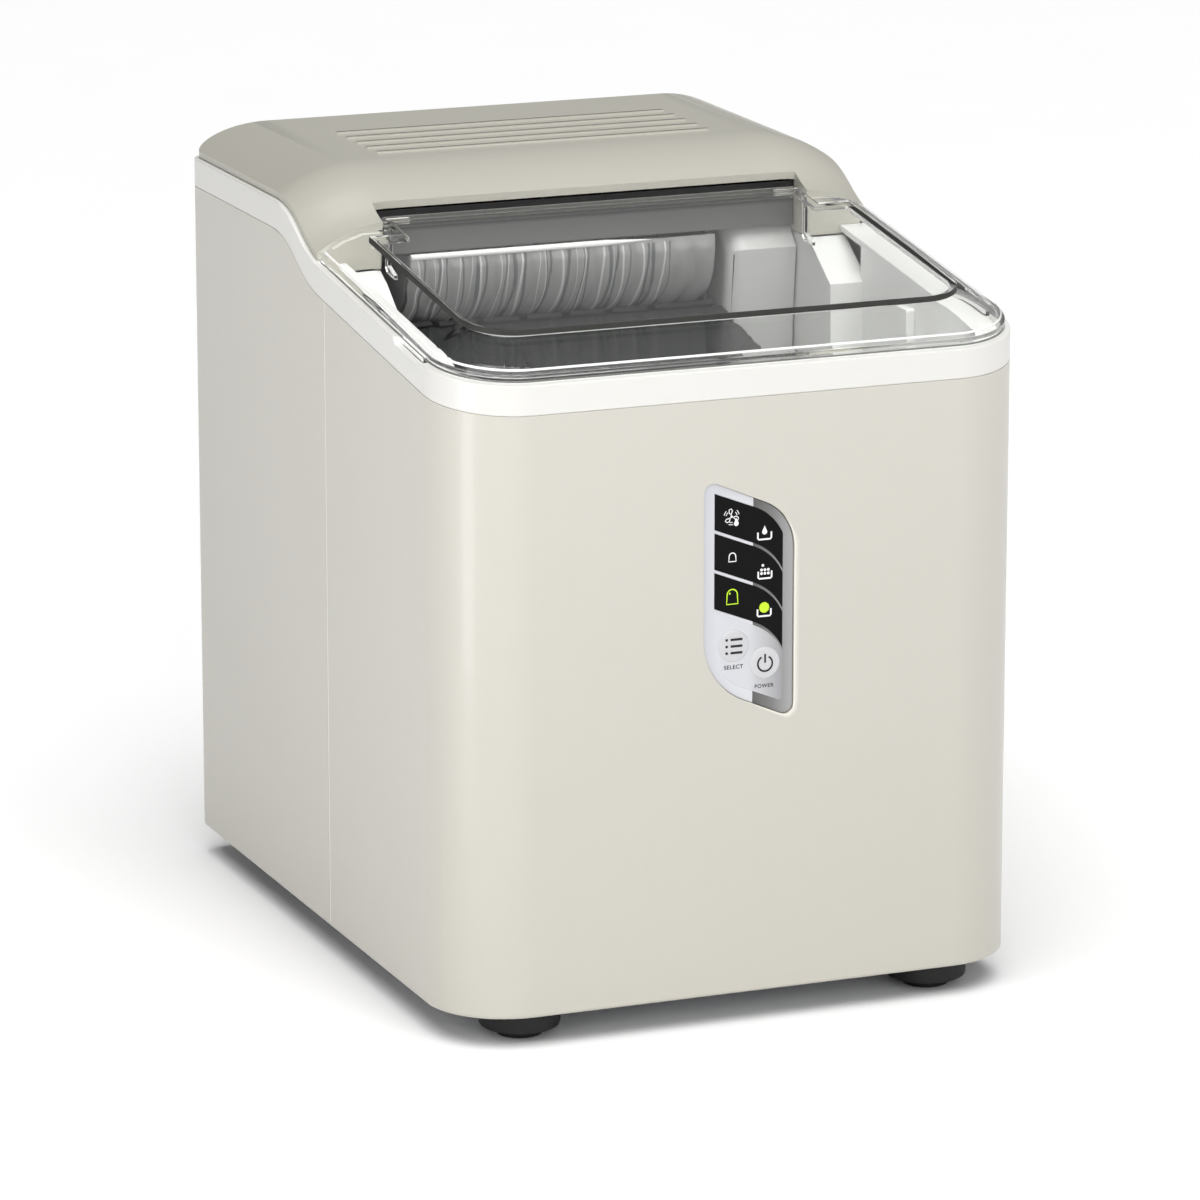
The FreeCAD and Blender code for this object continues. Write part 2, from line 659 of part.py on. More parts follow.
def inner_tub():
    wall = TUB_WALL
    outer = well(wall, TUB_FLOOR_Z - wall, TUB_STEP_Y + wall).common(rim_top(0.0))
    chamber = side_prism(
        [(TUB_STEP_Y + 1, 176.0), (CHAMBER_REAR_Y + wall, 202.0), (CHAMBER_REAR_Y + wall, CHAMBER_TOP_Z),
         (17.0, CHAMBER_TOP_Z), (17.0, 251.0), (TUB_STEP_Y + 1, 251.0)],
        -CHAMBER_HALF - wall, CHAMBER_HALF + wall)
    flange = case_prism(BAND_WALL + 0.3, 200, FAR).common(block(-FAR, FAR, -FAR, EAR_FRONT_Y - 0.3, 0, FAR))
    flange = flange.common(rim_top(0.0)).cut(rim_top(-2.2))
    flange = flange.cut(block(-TUB_HALF, TUB_HALF, TUB_STEP_Y, FAR, 0, FAR))
    body = join([outer, chamber, flange])
    hollow_front = well(0.0, TUB_FLOOR_Z, TUB_STEP_Y)
    hollow_rear = side_prism(
        [(TUB_STEP_Y - 1, 178.0), (CHAMBER_REAR_Y, 204.0), (CHAMBER_REAR_Y, FAR), (TUB_STEP_Y - 1, FAR)],
        -CHAMBER_HALF, CHAMBER_HALF)
    body = body.cut([hollow_front, hollow_rear])
    step_top = side_prism([(TUB_STEP_Y - 5, 237.0), (TUB_STEP_Y + 1, 237.0), (EAR_FRONT_Y + 4, 253.0),
                           (EAR_FRONT_Y + 4, FAR), (TUB_STEP_Y - 5, FAR)], -TUB_HALF - 0.01, TUB_HALF + 0.01)
    body = body.cut(step_top.common(block(-FAR, FAR, TUB_STEP_Y, 2.0, 0, FAR)))
    skins = []
    for side in (-1, 1):
        x0, x1 = sorted((side * CHAMBER_HALF, side * (TUB_HALF + wall)))
        skins.append(side_prism([(TUB_STEP_Y, 233.0), (TUB_STEP_Y, 237.0), (EAR_FRONT_Y - 0.3, 250.9),
                                 (EAR_FRONT_Y - 0.3, 246.9)], x0, x1))
    ledges = []
    for side in (-1, 1):
        x0, x1 = sorted((side * (TUB_HALF - 9.0), side * (TUB_HALF + 1)))
        ledges.append(block(x0, x1, -112.0, -34.0, BASKET_Z[0] - 4.3, BASKET_Z[0] - 0.3))
    body = join([body] + skins + ledges)
    bores = [rod(SHAFT_RADIUS + 0.05, 40, (-100, *TRAY_AXIS), (1, 0, 0)),
             rod(3.3, 40, (-100, *SPOUT_AT), (1, 0, 0)),
             rod(5.0, 20, (*PUMP_AT, TUB_FLOOR_Z - 10), (0, 0, 1)),
             rod(4.0, 20, (*TUB_DRAIN_AT, TUB_FLOOR_Z - 10), (0, 0, 1))]
    return body.cut(bores)


def tub_insulation():
    """Foam blanket around the well, with room for the control board and the two hoses."""
    skin = TUB_WALL + 0.3
    outer = round_box(-106.0, 106.0, -136.8, -11.0, 54.0, 226.0, (26.0, 26.0, 2.0, 2.0))
    outer = outer.cut(block(-FAR, FAR, TUB_STEP_Y + skin - 1.0, FAR, 170.0, FAR))
    outer = outer.cut(well(skin, TUB_FLOOR_Z - skin, TUB_STEP_Y + skin))
    board_pocket = block(-24.0, 24.0, -140.0, -131.0, 102.0, 208.0)
    ports = [rod(7.0, 40, (*at, 40.0), (0, 0, 1)) for at in (PUMP_AT, TUB_DRAIN_AT)]
    return outer.cut([board_pocket] + ports)


def ice_basket():
    """Open basket with a turned-out rim and a slotted floor."""
    x, (y0, y1), (z0, z1) = BASKET_HALF, BASKET_Y, BASKET_Z
    t = BASKET_WALL
    radii = (12.0,) * 4
    outer = round_box(-x + 5, x - 5, y0 + 3, y1 - 3, z0, z1, radii)
    rim = round_box(-x, x, y0, y1, z1 - 2.5, z1, radii)
    body = outer.fuse(rim).removeSplitter()
    body = body.cut(round_box(-x + 5 + t, x - 5 - t, y0 + 3 + t, y1 - 3 - t, z0 + t, z1 + 5, (10.0,) * 4))
    slots = []
    for i in range(-9, 10):
        slots.append(block(i * 8.0 - 1.7, i * 8.0 + 1.7, y0 + 16, y1 - 16, z0 - 5, z0 + 5))
    return body.cut(slots)


def float_stem():
    stem = rod(3.0, 66.0, (*FLOAT_AT, TUB_FLOOR_Z), (0, 0, 1))
    foot = rod(6.0, 3.0, (*FLOAT_AT, TUB_FLOOR_Z), (0, 0, 1))
    cap = rod(4.6, 2.0, (*FLOAT_AT, TUB_FLOOR_Z + 64.0), (0, 0, 1))
    return join([stem, foot, cap])


def water_float():
    return ring(10.0, 3.08, 16.0, (*FLOAT_AT, TUB_FLOOR_Z + 3.5), (0, 0, 1))


def ice_full_sensors():
    pair = []
    for side in (-1, 1):
        x0, x1 = sorted((side * (TUB_HALF - 3.5), side * TUB_HALF))
        shape = block(x0, x1, -66.0, -54.0, 226.0, 236.0)
        pair.append(fillet_where(shape, 1.0, lambda e: abs(e.BoundBox.XMax - e.BoundBox.XMin) > 1))
    return Part.makeCompound(pair)


# ---------------------------------------------------------------- ice making
def water_tray():
    """Half drum with end walls, shaft stubs and ridges down its front."""
    inner = TRAY_RADIUS - TRAY_WALL
    x0, x1 = TRAY_X
    trough = sector_prism(TRAY_AXIS, inner, TRAY_RADIUS, 180.0, 360.0, x0, x1)
    ends = []
    for x in (x0, x1 - TRAY_WALL):
        disc = rod(TRAY_RADIUS, TRAY_WALL, (x, *TRAY_AXIS), (1, 0, 0))
        ends.append(disc.cut(block(-FAR, FAR, 0, FAR, TRAY_AXIS[1], FAR)))
        ends.append(rod(2 * SHAFT_RADIUS, TRAY_WALL, (x, *TRAY_AXIS), (1, 0, 0)))
    stubs = [rod(SHAFT_RADIUS, CHAMBER_HALF + 1.5 + x0, (-CHAMBER_HALF - 1.5, *TRAY_AXIS), (1, 0, 0)),
             rod(SHAFT_RADIUS, 15.5, (x1, *TRAY_AXIS), (1, 0, 0))]
    ridges = []
    for i in range(TRAY_RIDGES):
        x = x0 + 8.0 + i * (x1 - x0 - 16.0) / (TRAY_RIDGES - 1)
        ridges.append(sector_prism(TRAY_AXIS, TRAY_RADIUS - 0.2, TRAY_RADIUS + 1.2, 184.0, 250.0,
                                   x - 2.5, x + 2.5))
    return join([trough] + ends + stubs + ridges)


def ice_shovel():
    """Slitted blade on two arms that sweeps the ice out over the chute."""
    low, high = SHOVEL_SECTOR
    inner, outer = SHOVEL_RADIUS
    x0, x1 = TRAY_X[0] - 4.5, TRAY_X[1] + 4.5
    blade = sector_prism(TRAY_AXIS, inner, outer, low, high, x0, x1)
    slits = []
    for i in range(-2, 4):
        x = -22.0 + i * 17.0
        slits.append(sector_prism(TRAY_AXIS, inner - 1, outer + 1, low - 1, high - 10, x - 1.6, x + 1.6))
    blade = blade.cut(slits)
    arms = []
    for x in (x0, x1 - 2.0):
        arm = sector_prism(TRAY_AXIS, 4.0, outer, low + 11.0, high - 11.0, x, x + 2.0)
        hub = ring(6.5, SHAFT_RADIUS + 0.06, 2.0, (x, *TRAY_AXIS), (1, 0, 0))
        arms.extend([arm, hub])
    return join([blade] + arms)


def evaporator():
    bar = round_box(-64.0, 44.0, 24.0, 46.0, 259.0, 265.0, (6.0,) * 4)
    fingers = []
    for y, row in FINGER_ROWS:
        for x in row:
            straight = rod(FINGER_RADIUS, 260.0 - FINGER_TIP_Z - FINGER_RADIUS,
                           (x, y, FINGER_TIP_Z + FINGER_RADIUS), (0, 0, 1))
            tip = Part.makeSphere(FINGER_RADIUS, V(x, y, FINGER_TIP_Z + FINGER_RADIUS))
            fingers.append(straight.fuse(tip))
    return join([bar] + fingers)


def evaporator_bracket():
    beam = block(-CHAMBER_HALF - 2.0, CHAMBER_HALF + 2.0, 24.0, 31.0, 271.0, 273.5)
    legs = [block(x, x + 2.0, 24.0, 31.0, CHAMBER_TOP_Z, 271.0) for x in (-CHAMBER_HALF - 2.0, CHAMBER_HALF)]
    hangers = [block(x, x + 4.0, 25.0, 30.0, 265.0, 271.0) for x in (-56.0, 30.0)]
    return join([beam] + legs + hangers)


def refrigerant_lines():
    over = 278.3
    supply = pipe([(-12.0, 33.5, 265.0), (-12.0, 33.5, over), (-12.0, 70.0, over), (-12.0, 70.0, 166.0)],
                  TUBE_RADIUS, 8.0)
    suction = pipe([(12.0, 33.5, 265.0), (12.0, 33.5, over), (12.0, 70.0, over), (12.0, 70.0, 186.0),
                    (38.0, 76.0, 186.0), (38.0, 76.0, 156.0)], TUBE_RADIUS, 8.0)
    discharge = pipe([(70.0, 60.0, 140.0), (70.0, 60.0, 172.0), (-30.0, 60.0, 172.0), (-30.0, 116.0, 172.0),
                      (-30.0, 116.0, 140.0)], TUBE_RADIUS, 8.0)
    liquid = pipe([(-80.0, 116.0, 140.0), (-80.0, 116.0, 160.0), (-80.0, 70.0, 160.0)], TUBE_RADIUS, 8.0)
    body = compressor()
    return Part.makeCompound([supply, suction.cut(body), discharge.cut(body), liquid])


def tray_motor():
    can = rod(15.0, 15.0, (66.0, TRAY_AXIS[0], TRAY_AXIS[1] - 22.0), (1, 0, 0))
    gearbox = round_box(60.5, 66.0, 25.0, 50.0, 210.0, 256.0, (1.0,) * 4)
    shaft_bore = rod(SHAFT_RADIUS + 0.05, 10, (60, *TRAY_AXIS), (1, 0, 0))
    return join([can, gearbox]).cut(shaft_bore)


def ice_chute():
    """Curved bed under the shovel, then a ramp over the back rim of the basket."""
    x0, x1 = -CHAMBER_HALF + 0.3, 56.5
    inner, outer = CHUTE_RADIUS
    bed = sector_prism(TRAY_AXIS, inner, outer, *CHUTE_SECTOR, x0, x1)
    lip = math.radians(CHUTE_SECTOR[0])
    top_y, top_z = TRAY_AXIS[0] + inner * math.cos(lip), TRAY_AXIS[1] + inner * math.sin(lip)
    low_y, low_z = TRAY_AXIS[0] + outer * math.cos(lip), TRAY_AXIS[1] + outer * math.sin(lip)
    end_y, end_z = BASKET_Y[1] + 3.0, BASKET_Z[1] + 3.5
    ramp = side_prism([(top_y, top_z), (end_y, end_z), (end_y, end_z - 2.0), (low_y, low_z - 0.5)], x0, x1)
    plate = join([bed, ramp])
    slits = []
    for i in range(15):
        x = x0 + 8.0 + i * 9.0
        slits.append(sector_prism(TRAY_AXIS, inner - 1, outer + 1, 262.0, 306.0, x - 1.4, x + 1.4))
    return plate.cut(slits)


def motor_cover():
    """Smooth housing over the tray motor, open at the back and towards the side wall."""
    x0, x1 = 57.0, CHAMBER_HALF - 0.7
    wall = 2.0
    outer = side_prism(MOTOR_COVER_SIDE, x0, x1)
    outer = fillet_where(outer, 7.0, lambda e: e.BoundBox.XMax < x0 + 0.01 and e.BoundBox.YMax < 55.0)
    inner_side = [(y + wall, z + (wall if z < 230 else -wall)) for y, z in MOTOR_COVER_SIDE]
    hollow = side_prism(inner_side, x0 + wall, x1 + 1)
    return outer.cut(hollow).cut(rod(SHAFT_RADIUS + 0.5, 10, (x0 - 2, *TRAY_AXIS), (1, 0, 0)))


def hinge_shield():
    """Dark wall behind the lid's hinge barrel that hides the works under the cover."""
    half = SLOT_HALF - 0.3
    front_y, back_y = SLOT_REAR_Y + 0.6, SLOT_REAR_Y + 1.8
    low_z = EAR_FLOOR_Z + 2.5
    upright = block(-half, half, front_y, back_y, low_z, low_z + 17.8)
    foot = block(-half, half, back_y, back_y + 3.1, low_z, low_z + 1.5)
    return join([upright, foot])


# ---------------------------------------------------------------- cold circuit
def compressor():
    x, y = COMPRESSOR_AT
    r = COMPRESSOR_RADIUS
    low, high = COMPRESSOR_Z
    reach_x, reach_y = GROMMET_REACH
    can = rod(r, high - low, (x, y, low), (0, 0, 1))
    dome = Part.makeSphere(r, V(0, 0, 0))
    matrix = FreeCAD.Matrix()
    matrix.scale(1.0, 1.0, 0.45)
    flat_dome = dome.transformGeometry(matrix)
    top = flat_dome.copy()
    top.translate(V(x, y, high))
    bottom = flat_dome.copy()
    bottom.translate(V(x, y, low))
    margin = 7.0
    plate = round_box(x - reach_x - margin, x + reach_x + margin, y - reach_y - margin, y + reach_y + margin,
                      21.0, 24.5, (8.0,) * 4)
    bracket = rod(20.0, 6.0, (x, y, 23.0), (0, 0, 1))
    holes = [rod(4.2, 10, (x + sx * reach_x, y + sy * reach_y, 18), (0, 0, 1))
             for sx in (-1, 1) for sy in (-1, 1)]
    return join([can, top, bottom, plate.cut(holes), bracket])


def compressor_grommets():
    group = []
    for sx in (-1, 1):
        for sy in (-1, 1):
            at = (COMPRESSOR_AT[0] + sx * GROMMET_REACH[0], COMPRESSOR_AT[1] + sy * GROMMET_REACH[1])
            lower = rod(7.0, 7.5, (*at, PAN_FLOOR_Z), (0, 0, 1))
            neck = rod(4.1, 3.5, (*at, 21.0), (0, 0, 1))
            upper = rod(6.0, 3.0, (*at, 24.5), (0, 0, 1))
            group.append(join([lower, neck, upper]))
    return Part.makeCompound(group)


def condenser():
    """Finned coil between two end plates that stand on the base pan."""
    x0, x1 = CONDENSER_X
    y0, y1 = CONDENSER_Y
    z0, z1 = CONDENSER_Z
    fins = [block(x, x + 0.8, y0, y1, z0, z1) for x in [x0 + 2 + i * 6.0 for i in range(15)]]
    tubes = []
    for y in (y0 + 6, y1 - 6):
        for i in range(6):
            tubes.append(rod(3.0, x1 - x0, (x0, y, z0 + 9 + i * 17.2), (1, 0, 0)))
    plates = [block(x0, x0 + 1.2, y0, y1, z0 - 14, z1 + 2), block(x1 - 1.2, x1, y0, y1, z0 - 14, z1 + 2)]
    return join(fins + tubes + plates)


def fan_shroud():
    """Tray behind the condenser, with a round barrel and three arms for the fan motor."""
    x, z = FAN_AT
    x0, x1 = CONDENSER_X
    z0, z1 = CONDENSER_Z
    wall = 1.5
    plate = block(x0, x1, 94.0, 107.0, z0, z1)
    plate = plate.cut(block(x0 + wall, x1 - wall, 94.0 + wall, 110.0, z0 + wall, z1 - wall))
    plate = plate.cut(rod(FAN_RADIUS + 1.5, 10, (x, 90.0, z), (0, 1, 0)))
    barrel = ring(FAN_RADIUS + 3.0, FAN_RADIUS + 1.5, 14.0, (x, 82.0, z), (0, 1, 0))
    mounts = []
    for turn in range(3):
        bar = block(x - 3, x + 3, 70.0, 73.0, z + 17.5, z + FAN_RADIUS + 3.0)
        post = block(x - 3, x + 3, 70.0, 84.0, z + FAN_RADIUS + 1.5, z + FAN_RADIUS + 3.0)
        arm = bar.fuse(post)
        arm.rotate(V(x, 80.0, z), V(0, 1, 0), 120.0 * turn)
        mounts.append(arm)
    hub = ring(19.0, 16.2, 3.0, (x, 70.0, z), (0, 1, 0))
    return join([plate, barrel, hub] + mounts)


def fan_motor():
    x, z = FAN_AT
    can = rod(16.1, 20.0, (x, 60.0, z), (0, 1, 0))
    shaft = rod(2.0, 12.0, (x, 80.0, z), (0, 1, 0))
    return join([can, shaft])


def fan_blade():
    x, z = FAN_AT
    hub = rod(11.0, 10.0, (x, 83.0, z), (0, 1, 0))
    blades = []
    for turn in range(5):
        blade = block(x - 11.0, x + 11.0, 87.2, 88.8, z + 8.0, z + FAN_RADIUS - 1.0)
        blade.rotate(V(x, 88.0, z), V(0, 0, 1), 22.0)
        blade = blade.common(rod(FAN_RADIUS, 30.0, (x, 75.0, z), (0, 1, 0)))
        blade.rotate(V(x, 88.0, z), V(0, 1, 0), 72.0 * turn)
        blades.append(blade)
    return join([hub] + blades).cut(rod(2.05, 20.0, (x, 80.0, z), (0, 1, 0)))


def filter_drier():
    body = rod(9.0, 46.0, (-80.0, 62.0, 100.0), (0, 0, 1))
    ends = [Part.makeCone(9.0, 3.0, 8.0, V(-80.0, 62.0, 146.0), V(0, 0, 1)),
            Part.makeCone(3.0, 9.0, 8.0, V(-80.0, 62.0, 92.0), V(0, 0, 1))]
    return join([body] + ends)


def hot_gas_valve():
    body = rod(7.0, 26.0, (-12.0, 70.0, 140.0), (0, 0, 1))
    coil = round_box(-24.0, 0.0, 56.0, 82.0, 145.0, 163.0, (4.0,) * 4)
    return join([body, coil])


# ---------------------------------------------------------------- water circuit
def water_pump():
    x, y = PUMP_AT
    volute = ring(20.0, 15.5, 12.0, (x, y, 26.0), (0, 0, 1))
    floor = rod(20.0, 2.0, (x, y, 24.0), (0, 0, 1))
    lid_plate = ring(20.0, 5.0, 2.0, (x, y, 38.0), (0, 0, 1))
    inlet = ring(7.0, 5.0, 12.0, (x, y, 38.0), (0, 0, 1))
    outlet = ring(5.0, 3.2, 20.0, (x + 14.0, y + 8.0, 32.0), (0, 1, 0))
    motor = rod(15.0, 10.5, (x, y, PAN_FLOOR_Z), (0, 0, 1))
    spindle = rod(1.5, 12.0, (x, y, 25.0), (0, 0, 1))
    body = join([volute, floor, lid_plate, inlet, outlet, motor, spindle])
    return body.cut(rod(3.2, 12.0, (x + 14.0, y, 32.0), (0, 1, 0)))


def pump_impeller():
    x, y = PUMP_AT
    hub = rod(4.5, 7.0, (x, y, 29.0), (0, 0, 1))
    disc = rod(11.5, 1.6, (x, y, 27.4), (0, 0, 1))
    vanes = []
    for turn in range(6):
        vane = block(x + 3.5, x + 11.5, y - 0.8, y + 0.8, 28.5, 35.0)
        vane.rotate(V(x, y, 0), V(0, 0, 1), 60.0 * turn)
        vanes.append(vane)
    return join([hub, disc] + vanes).cut(rod(1.55, 30.0, (x, y, 20.0), (0, 0, 1)))


def water_hoses():
    x, y = PUMP_AT
    inlet = ring(4.9, 3.4, 9.5, (x, y, 50.2), (0, 0, 1))
    outlet_x = x + 14.0
    side_x = -96.0
    riser = pipe([(outlet_x, y + 28.0, 32.0), (outlet_x, 4.0, 32.0), (outlet_x, 4.0, 150.0),
                  (side_x, 4.0, 168.0), (side_x, SPOUT_AT[0], 190.0), (side_x, *SPOUT_AT),
                  (-88.5, *SPOUT_AT)], 3.6, 6.0)
    drain_x, drain_z = DRAIN_AT
    drain = pipe([(*TUB_DRAIN_AT, 59.5), (*TUB_DRAIN_AT, drain_z), (drain_x, BACK_Y - 16.5, drain_z)],
                 3.6, 12.0)
    return Part.makeCompound([inlet, riser, drain])


def water_spout():
    y, z = SPOUT_AT
    tube = ring(3.2, 2.0, 22.3, (-88.3, y, z), (1, 0, 0))
    collar = ring(5.5, 3.1, 1.8, (-88.0, y, z), (1, 0, 0))
    return join([tube, collar])


# ---------------------------------------------------------------- controls
def control_bezel():
    plate = leaf_prism(0.15, BEZEL_Y, BEZEL_Y + 3.0)
    pockets = [screen_face(z, BEZEL_Y).extrude(V(0, 0.9, 0)) for z in SCREEN_TOPS]
    holes = []
    for x, z in (SELECT_AT, POWER_AT):
        holes.append(rod(BUTTON_RADIUS + BUTTON_GAP, 10, (x, BEZEL_Y - 2, z), (0, 1, 0)))
    return plate.cut(pockets + holes)


def screen_face(top_z, y):
    """One dark display row: square at the left, sloping down and then rounded off to the right."""
    x0, x1 = SCREEN_X
    bottom_z = top_z - SCREEN_HEIGHT
    fall = 16.3
    def bend(z):
        return (x0 + 14.4, y, z - 5.7), (x0 + 21.8, y, z - 10.3), (x1, y, z - fall)
    upper, lower = bend(top_z), bend(bottom_z)
    edges = [
        line((x0, y, top_z), upper[0]),
        arc(*upper),
        line(upper[2], lower[2]),
        arc(*reversed(lower)),
        line(lower[0], (x0, y, bottom_z)),
        line((x0, y, bottom_z), (x0, y, top_z)),
    ]
    return Part.Face(Part.Wire(edges))


def display_window():
    rows = [screen_face(z, BEZEL_Y + 0.1).makeOffset2D(-0.1, join=2).extrude(V(0, 0.8, 0)) for z in SCREEN_TOPS]
    return Part.makeCompound(rows)


def button(at):
    x, z = at
    cap = rod(BUTTON_RADIUS, 4.2, (x, BEZEL_Y - 0.5, z), (0, 1, 0))
    cap = fillet_where(cap, 0.4, lambda e: e.BoundBox.YMax < BEZEL_Y - 0.4)
    stem = rod(2.0, 0.6, (x, BEZEL_Y + 3.7, z), (0, 1, 0))
    return join([cap, stem])


def control_board():
    y = -HALF_D + 6.6
    board = block(-19.0, 19.0, y, y + 1.6, 108.0, 202.0)
    switches = []
    for x, z in (SELECT_AT, POWER_AT):
        switches.append(block(x - 3, x + 3, y - 0.3, y, z - 3, z + 3))
    posts = [block(x - 1.5, x + 1.5, -HALF_D + 3.8, y, z - 1.5, z + 1.5)
             for x, z in ((-10.0, 186.0), (10.0, 122.0), (-10.0, 160.0), (10.0, 160.0))]
    return join([board] + switches + posts)


def main_board():
    board = block(-105.0, -103.4, 0.0, 62.0, 34.0, 140.0)
    coil = block(-103.4, -84.0, 8.0, 34.0, 44.0, 70.0)
    relays = [block(-103.4, -90.0, y, y + 14.0, 90.0, 108.0) for y in (6.0, 26.0)]
    stand = block(-106.0, -105.0, 0.0, 62.0, PAN_FLOOR_Z, 140.0)
    return join([board, coil, stand] + relays)


# ---------------------------------------------------------------- write every sub-part
def main():
    shell = case_shell()
    export("front_panel", front_panel(shell))
    export("rear_housing", rear_housing(shell))
    export("trim_band", trim_band())
    export("top_cover", top_cover())
    export("hinge_pins", hinge_pins())
    export("lid", lid())
    export("base_pan", base_pan())
    export("feet", feet())
    export("case_screws", case_screws())
    export("rear_grille", rear_grille())
    export("side_grille", side_grille())
    export("cord_gland", cord_gland())
    export("drain_outlet", drain_outlet())
    export("drain_plug", drain_plug())
    export("inner_tub", inner_tub())
    export("tub_insulation", tub_insulation())
    export("ice_basket", ice_basket())
    export("float_stem", float_stem())
    export("water_float", water_float())
    export("ice_full_sensors", ice_full_sensors())
    export("water_tray", water_tray())
    export("ice_shovel", ice_shovel())
    export("ice_chute", ice_chute())
    export("evaporator", evaporator())
    export("evaporator_bracket", evaporator_bracket())
    export("refrigerant_lines", refrigerant_lines())
    export("tray_motor", tray_motor())
    export("motor_cover", motor_cover())
    export("hinge_shield", hinge_shield())
    export("compressor", compressor())
    export("compressor_grommets", compressor_grommets())
    export("condenser", condenser())
    export("fan_shroud", fan_shroud())
    export("fan_motor", fan_motor())
    export("fan_blade", fan_blade())
    export("filter_drier", filter_drier())
    export("hot_gas_valve", hot_gas_valve())
    export("water_pump", water_pump())
    export("pump_impeller", pump_impeller())
    export("water_hoses", water_hoses())
    export("water_spout", water_spout())
    export("control_bezel", control_bezel())
    export("display_window", display_window())
    export("select_button", button(SELECT_AT))
    export("power_button", button(POWER_AT))
    export("control_board", control_board())
    export("main_board", main_board())


main()
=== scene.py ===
import logging
import math
from dataclasses import dataclass
from enum import Enum
from typing import Dict, List, Sequence, Tuple

import bmesh
import bpy
from mathutils import Matrix, Vector


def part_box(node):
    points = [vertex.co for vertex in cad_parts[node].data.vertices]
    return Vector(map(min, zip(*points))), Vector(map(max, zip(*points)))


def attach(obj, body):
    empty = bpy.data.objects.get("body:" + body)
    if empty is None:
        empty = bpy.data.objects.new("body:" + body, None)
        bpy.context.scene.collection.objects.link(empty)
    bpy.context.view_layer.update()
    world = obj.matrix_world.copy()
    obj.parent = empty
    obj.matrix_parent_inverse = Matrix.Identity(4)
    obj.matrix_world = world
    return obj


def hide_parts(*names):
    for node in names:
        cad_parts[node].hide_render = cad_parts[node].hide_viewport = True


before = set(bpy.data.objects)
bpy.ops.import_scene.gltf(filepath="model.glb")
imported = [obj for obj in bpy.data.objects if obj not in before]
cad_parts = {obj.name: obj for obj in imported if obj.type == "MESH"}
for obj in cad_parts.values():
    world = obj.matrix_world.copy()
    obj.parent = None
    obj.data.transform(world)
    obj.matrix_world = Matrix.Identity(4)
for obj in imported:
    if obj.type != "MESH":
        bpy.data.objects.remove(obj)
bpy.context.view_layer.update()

MM = 0.001
Point = Tuple[float, float, float]
Flat = Tuple[float, float]
Rgb = Tuple[int, int, int]
Face = Sequence[int]
Form = Tuple[List[Point], List[Face]]
log = logging.getLogger("ice_maker")

# Sizes that several pieces share, in millimetres, and the turn between two points of a corner, in degrees.
CASE_FRONT = -141.0
RIM_SLOPE = 0.1355
BAND_FOOT = 227.4
LID_FOOT = 238.1
PANEL_MIDDLE = 155.0
CORNER_STEP = 6
PRINT_DEPTH = 0.05
PRINT_EASE = 0.01

# What every solid finish shares: its coat's haze, the size of its mottling, how far its gloss wanders from
# the middle value, the depth of its bump in metres, and how far brushing draws out the texture.
COAT_HAZE = 0.06
CLOUD_SCALE = 14.0
CLOUD_DETAIL = 3.0
GLOSS_SWING = 0.1
BUMP_REACH = 0.0002
BRUSH_DRAW = (0.04, 1.0, 1.0)
# What every clear finish shares: the size of its haze's clouds and how far the haze wanders.
HAZE_SCALE = 30.0
HAZE_SWING = 0.5


# ------------------------------------------------------------------ finishes
def linear(rgb: Rgb) -> Tuple[float, float, float, float]:
    """Turns a given colour into the shader's linear values.

    Args:
        rgb: red, green and blue, from 0 to 255.

    Returns:
        Linear red, green and blue, and full opacity.
    """
    def channel(value: int) -> float:
        """One channel of the conversion."""
        v = value / 255.0
        return v / 12.92 if v <= 0.04045 else ((v + 0.055) / 1.055) ** 2.4
    return (channel(rgb[0]), channel(rgb[1]), channel(rgb[2]), 1.0)


class Grain(Enum):
    """How a surface's fine texture runs."""
    MOULDED = "moulded"
    BRUSHED = "brushed"


class Axis(Enum):
    """The three directions of the frame."""
    X = "X"
    Y = "Y"
    Z = "Z"


def fed(tree: bpy.types.NodeTree, kind: str, source: bpy.types.NodeSocket, inlet: str) -> bpy.types.Node:
    """Adds a node to a tree and feeds one of its sockets.

    Args:
        tree: the node tree.
        kind: the node's type.
        source: the socket that feeds it.
        inlet: the name of the socket that is fed.

    Returns:
        The new node.
    """
    node = tree.nodes.new(kind)
    tree.links.new(source, node.inputs[inlet])
    return node


def noise(tree: bpy.types.NodeTree, place: bpy.types.NodeSocket, scale: float,
          detail: float = 2.0) -> bpy.types.NodeSocket:
    """Adds a cloud texture.

    Args:
        tree: the node tree.
        place: the socket that gives the place on the surface.
        scale: how fine the clouds are.
        detail: how many finer layers lie over them.

    Returns:
        The socket with the clouds, from 0 to 1.
    """
    cloud = fed(tree, "ShaderNodeTexNoise", place, "Vector")
    cloud.inputs["Scale"].default_value = scale
    cloud.inputs["Detail"].default_value = detail
    return cloud.outputs["Fac"]


def wander(tree: bpy.types.NodeTree, cloud: bpy.types.NodeSocket, middle: float, swing: float,
           target: bpy.types.NodeSocket) -> None:
    """Lets a value wander over the surface.

    Args:
        tree: the node tree.
        cloud: the texture that it follows.
        middle: its middle value.
        swing: how far it goes to either side, as a share of the middle value.
        target: the shader's socket that takes it.
    """
    span = fed(tree, "ShaderNodeMapRange", cloud, "Value")
    span.inputs["To Min"].default_value = middle * (1.0 - swing)
    span.inputs["To Max"].default_value = middle * (1.0 + swing)
    tree.links.new(span.outputs["Result"], target)


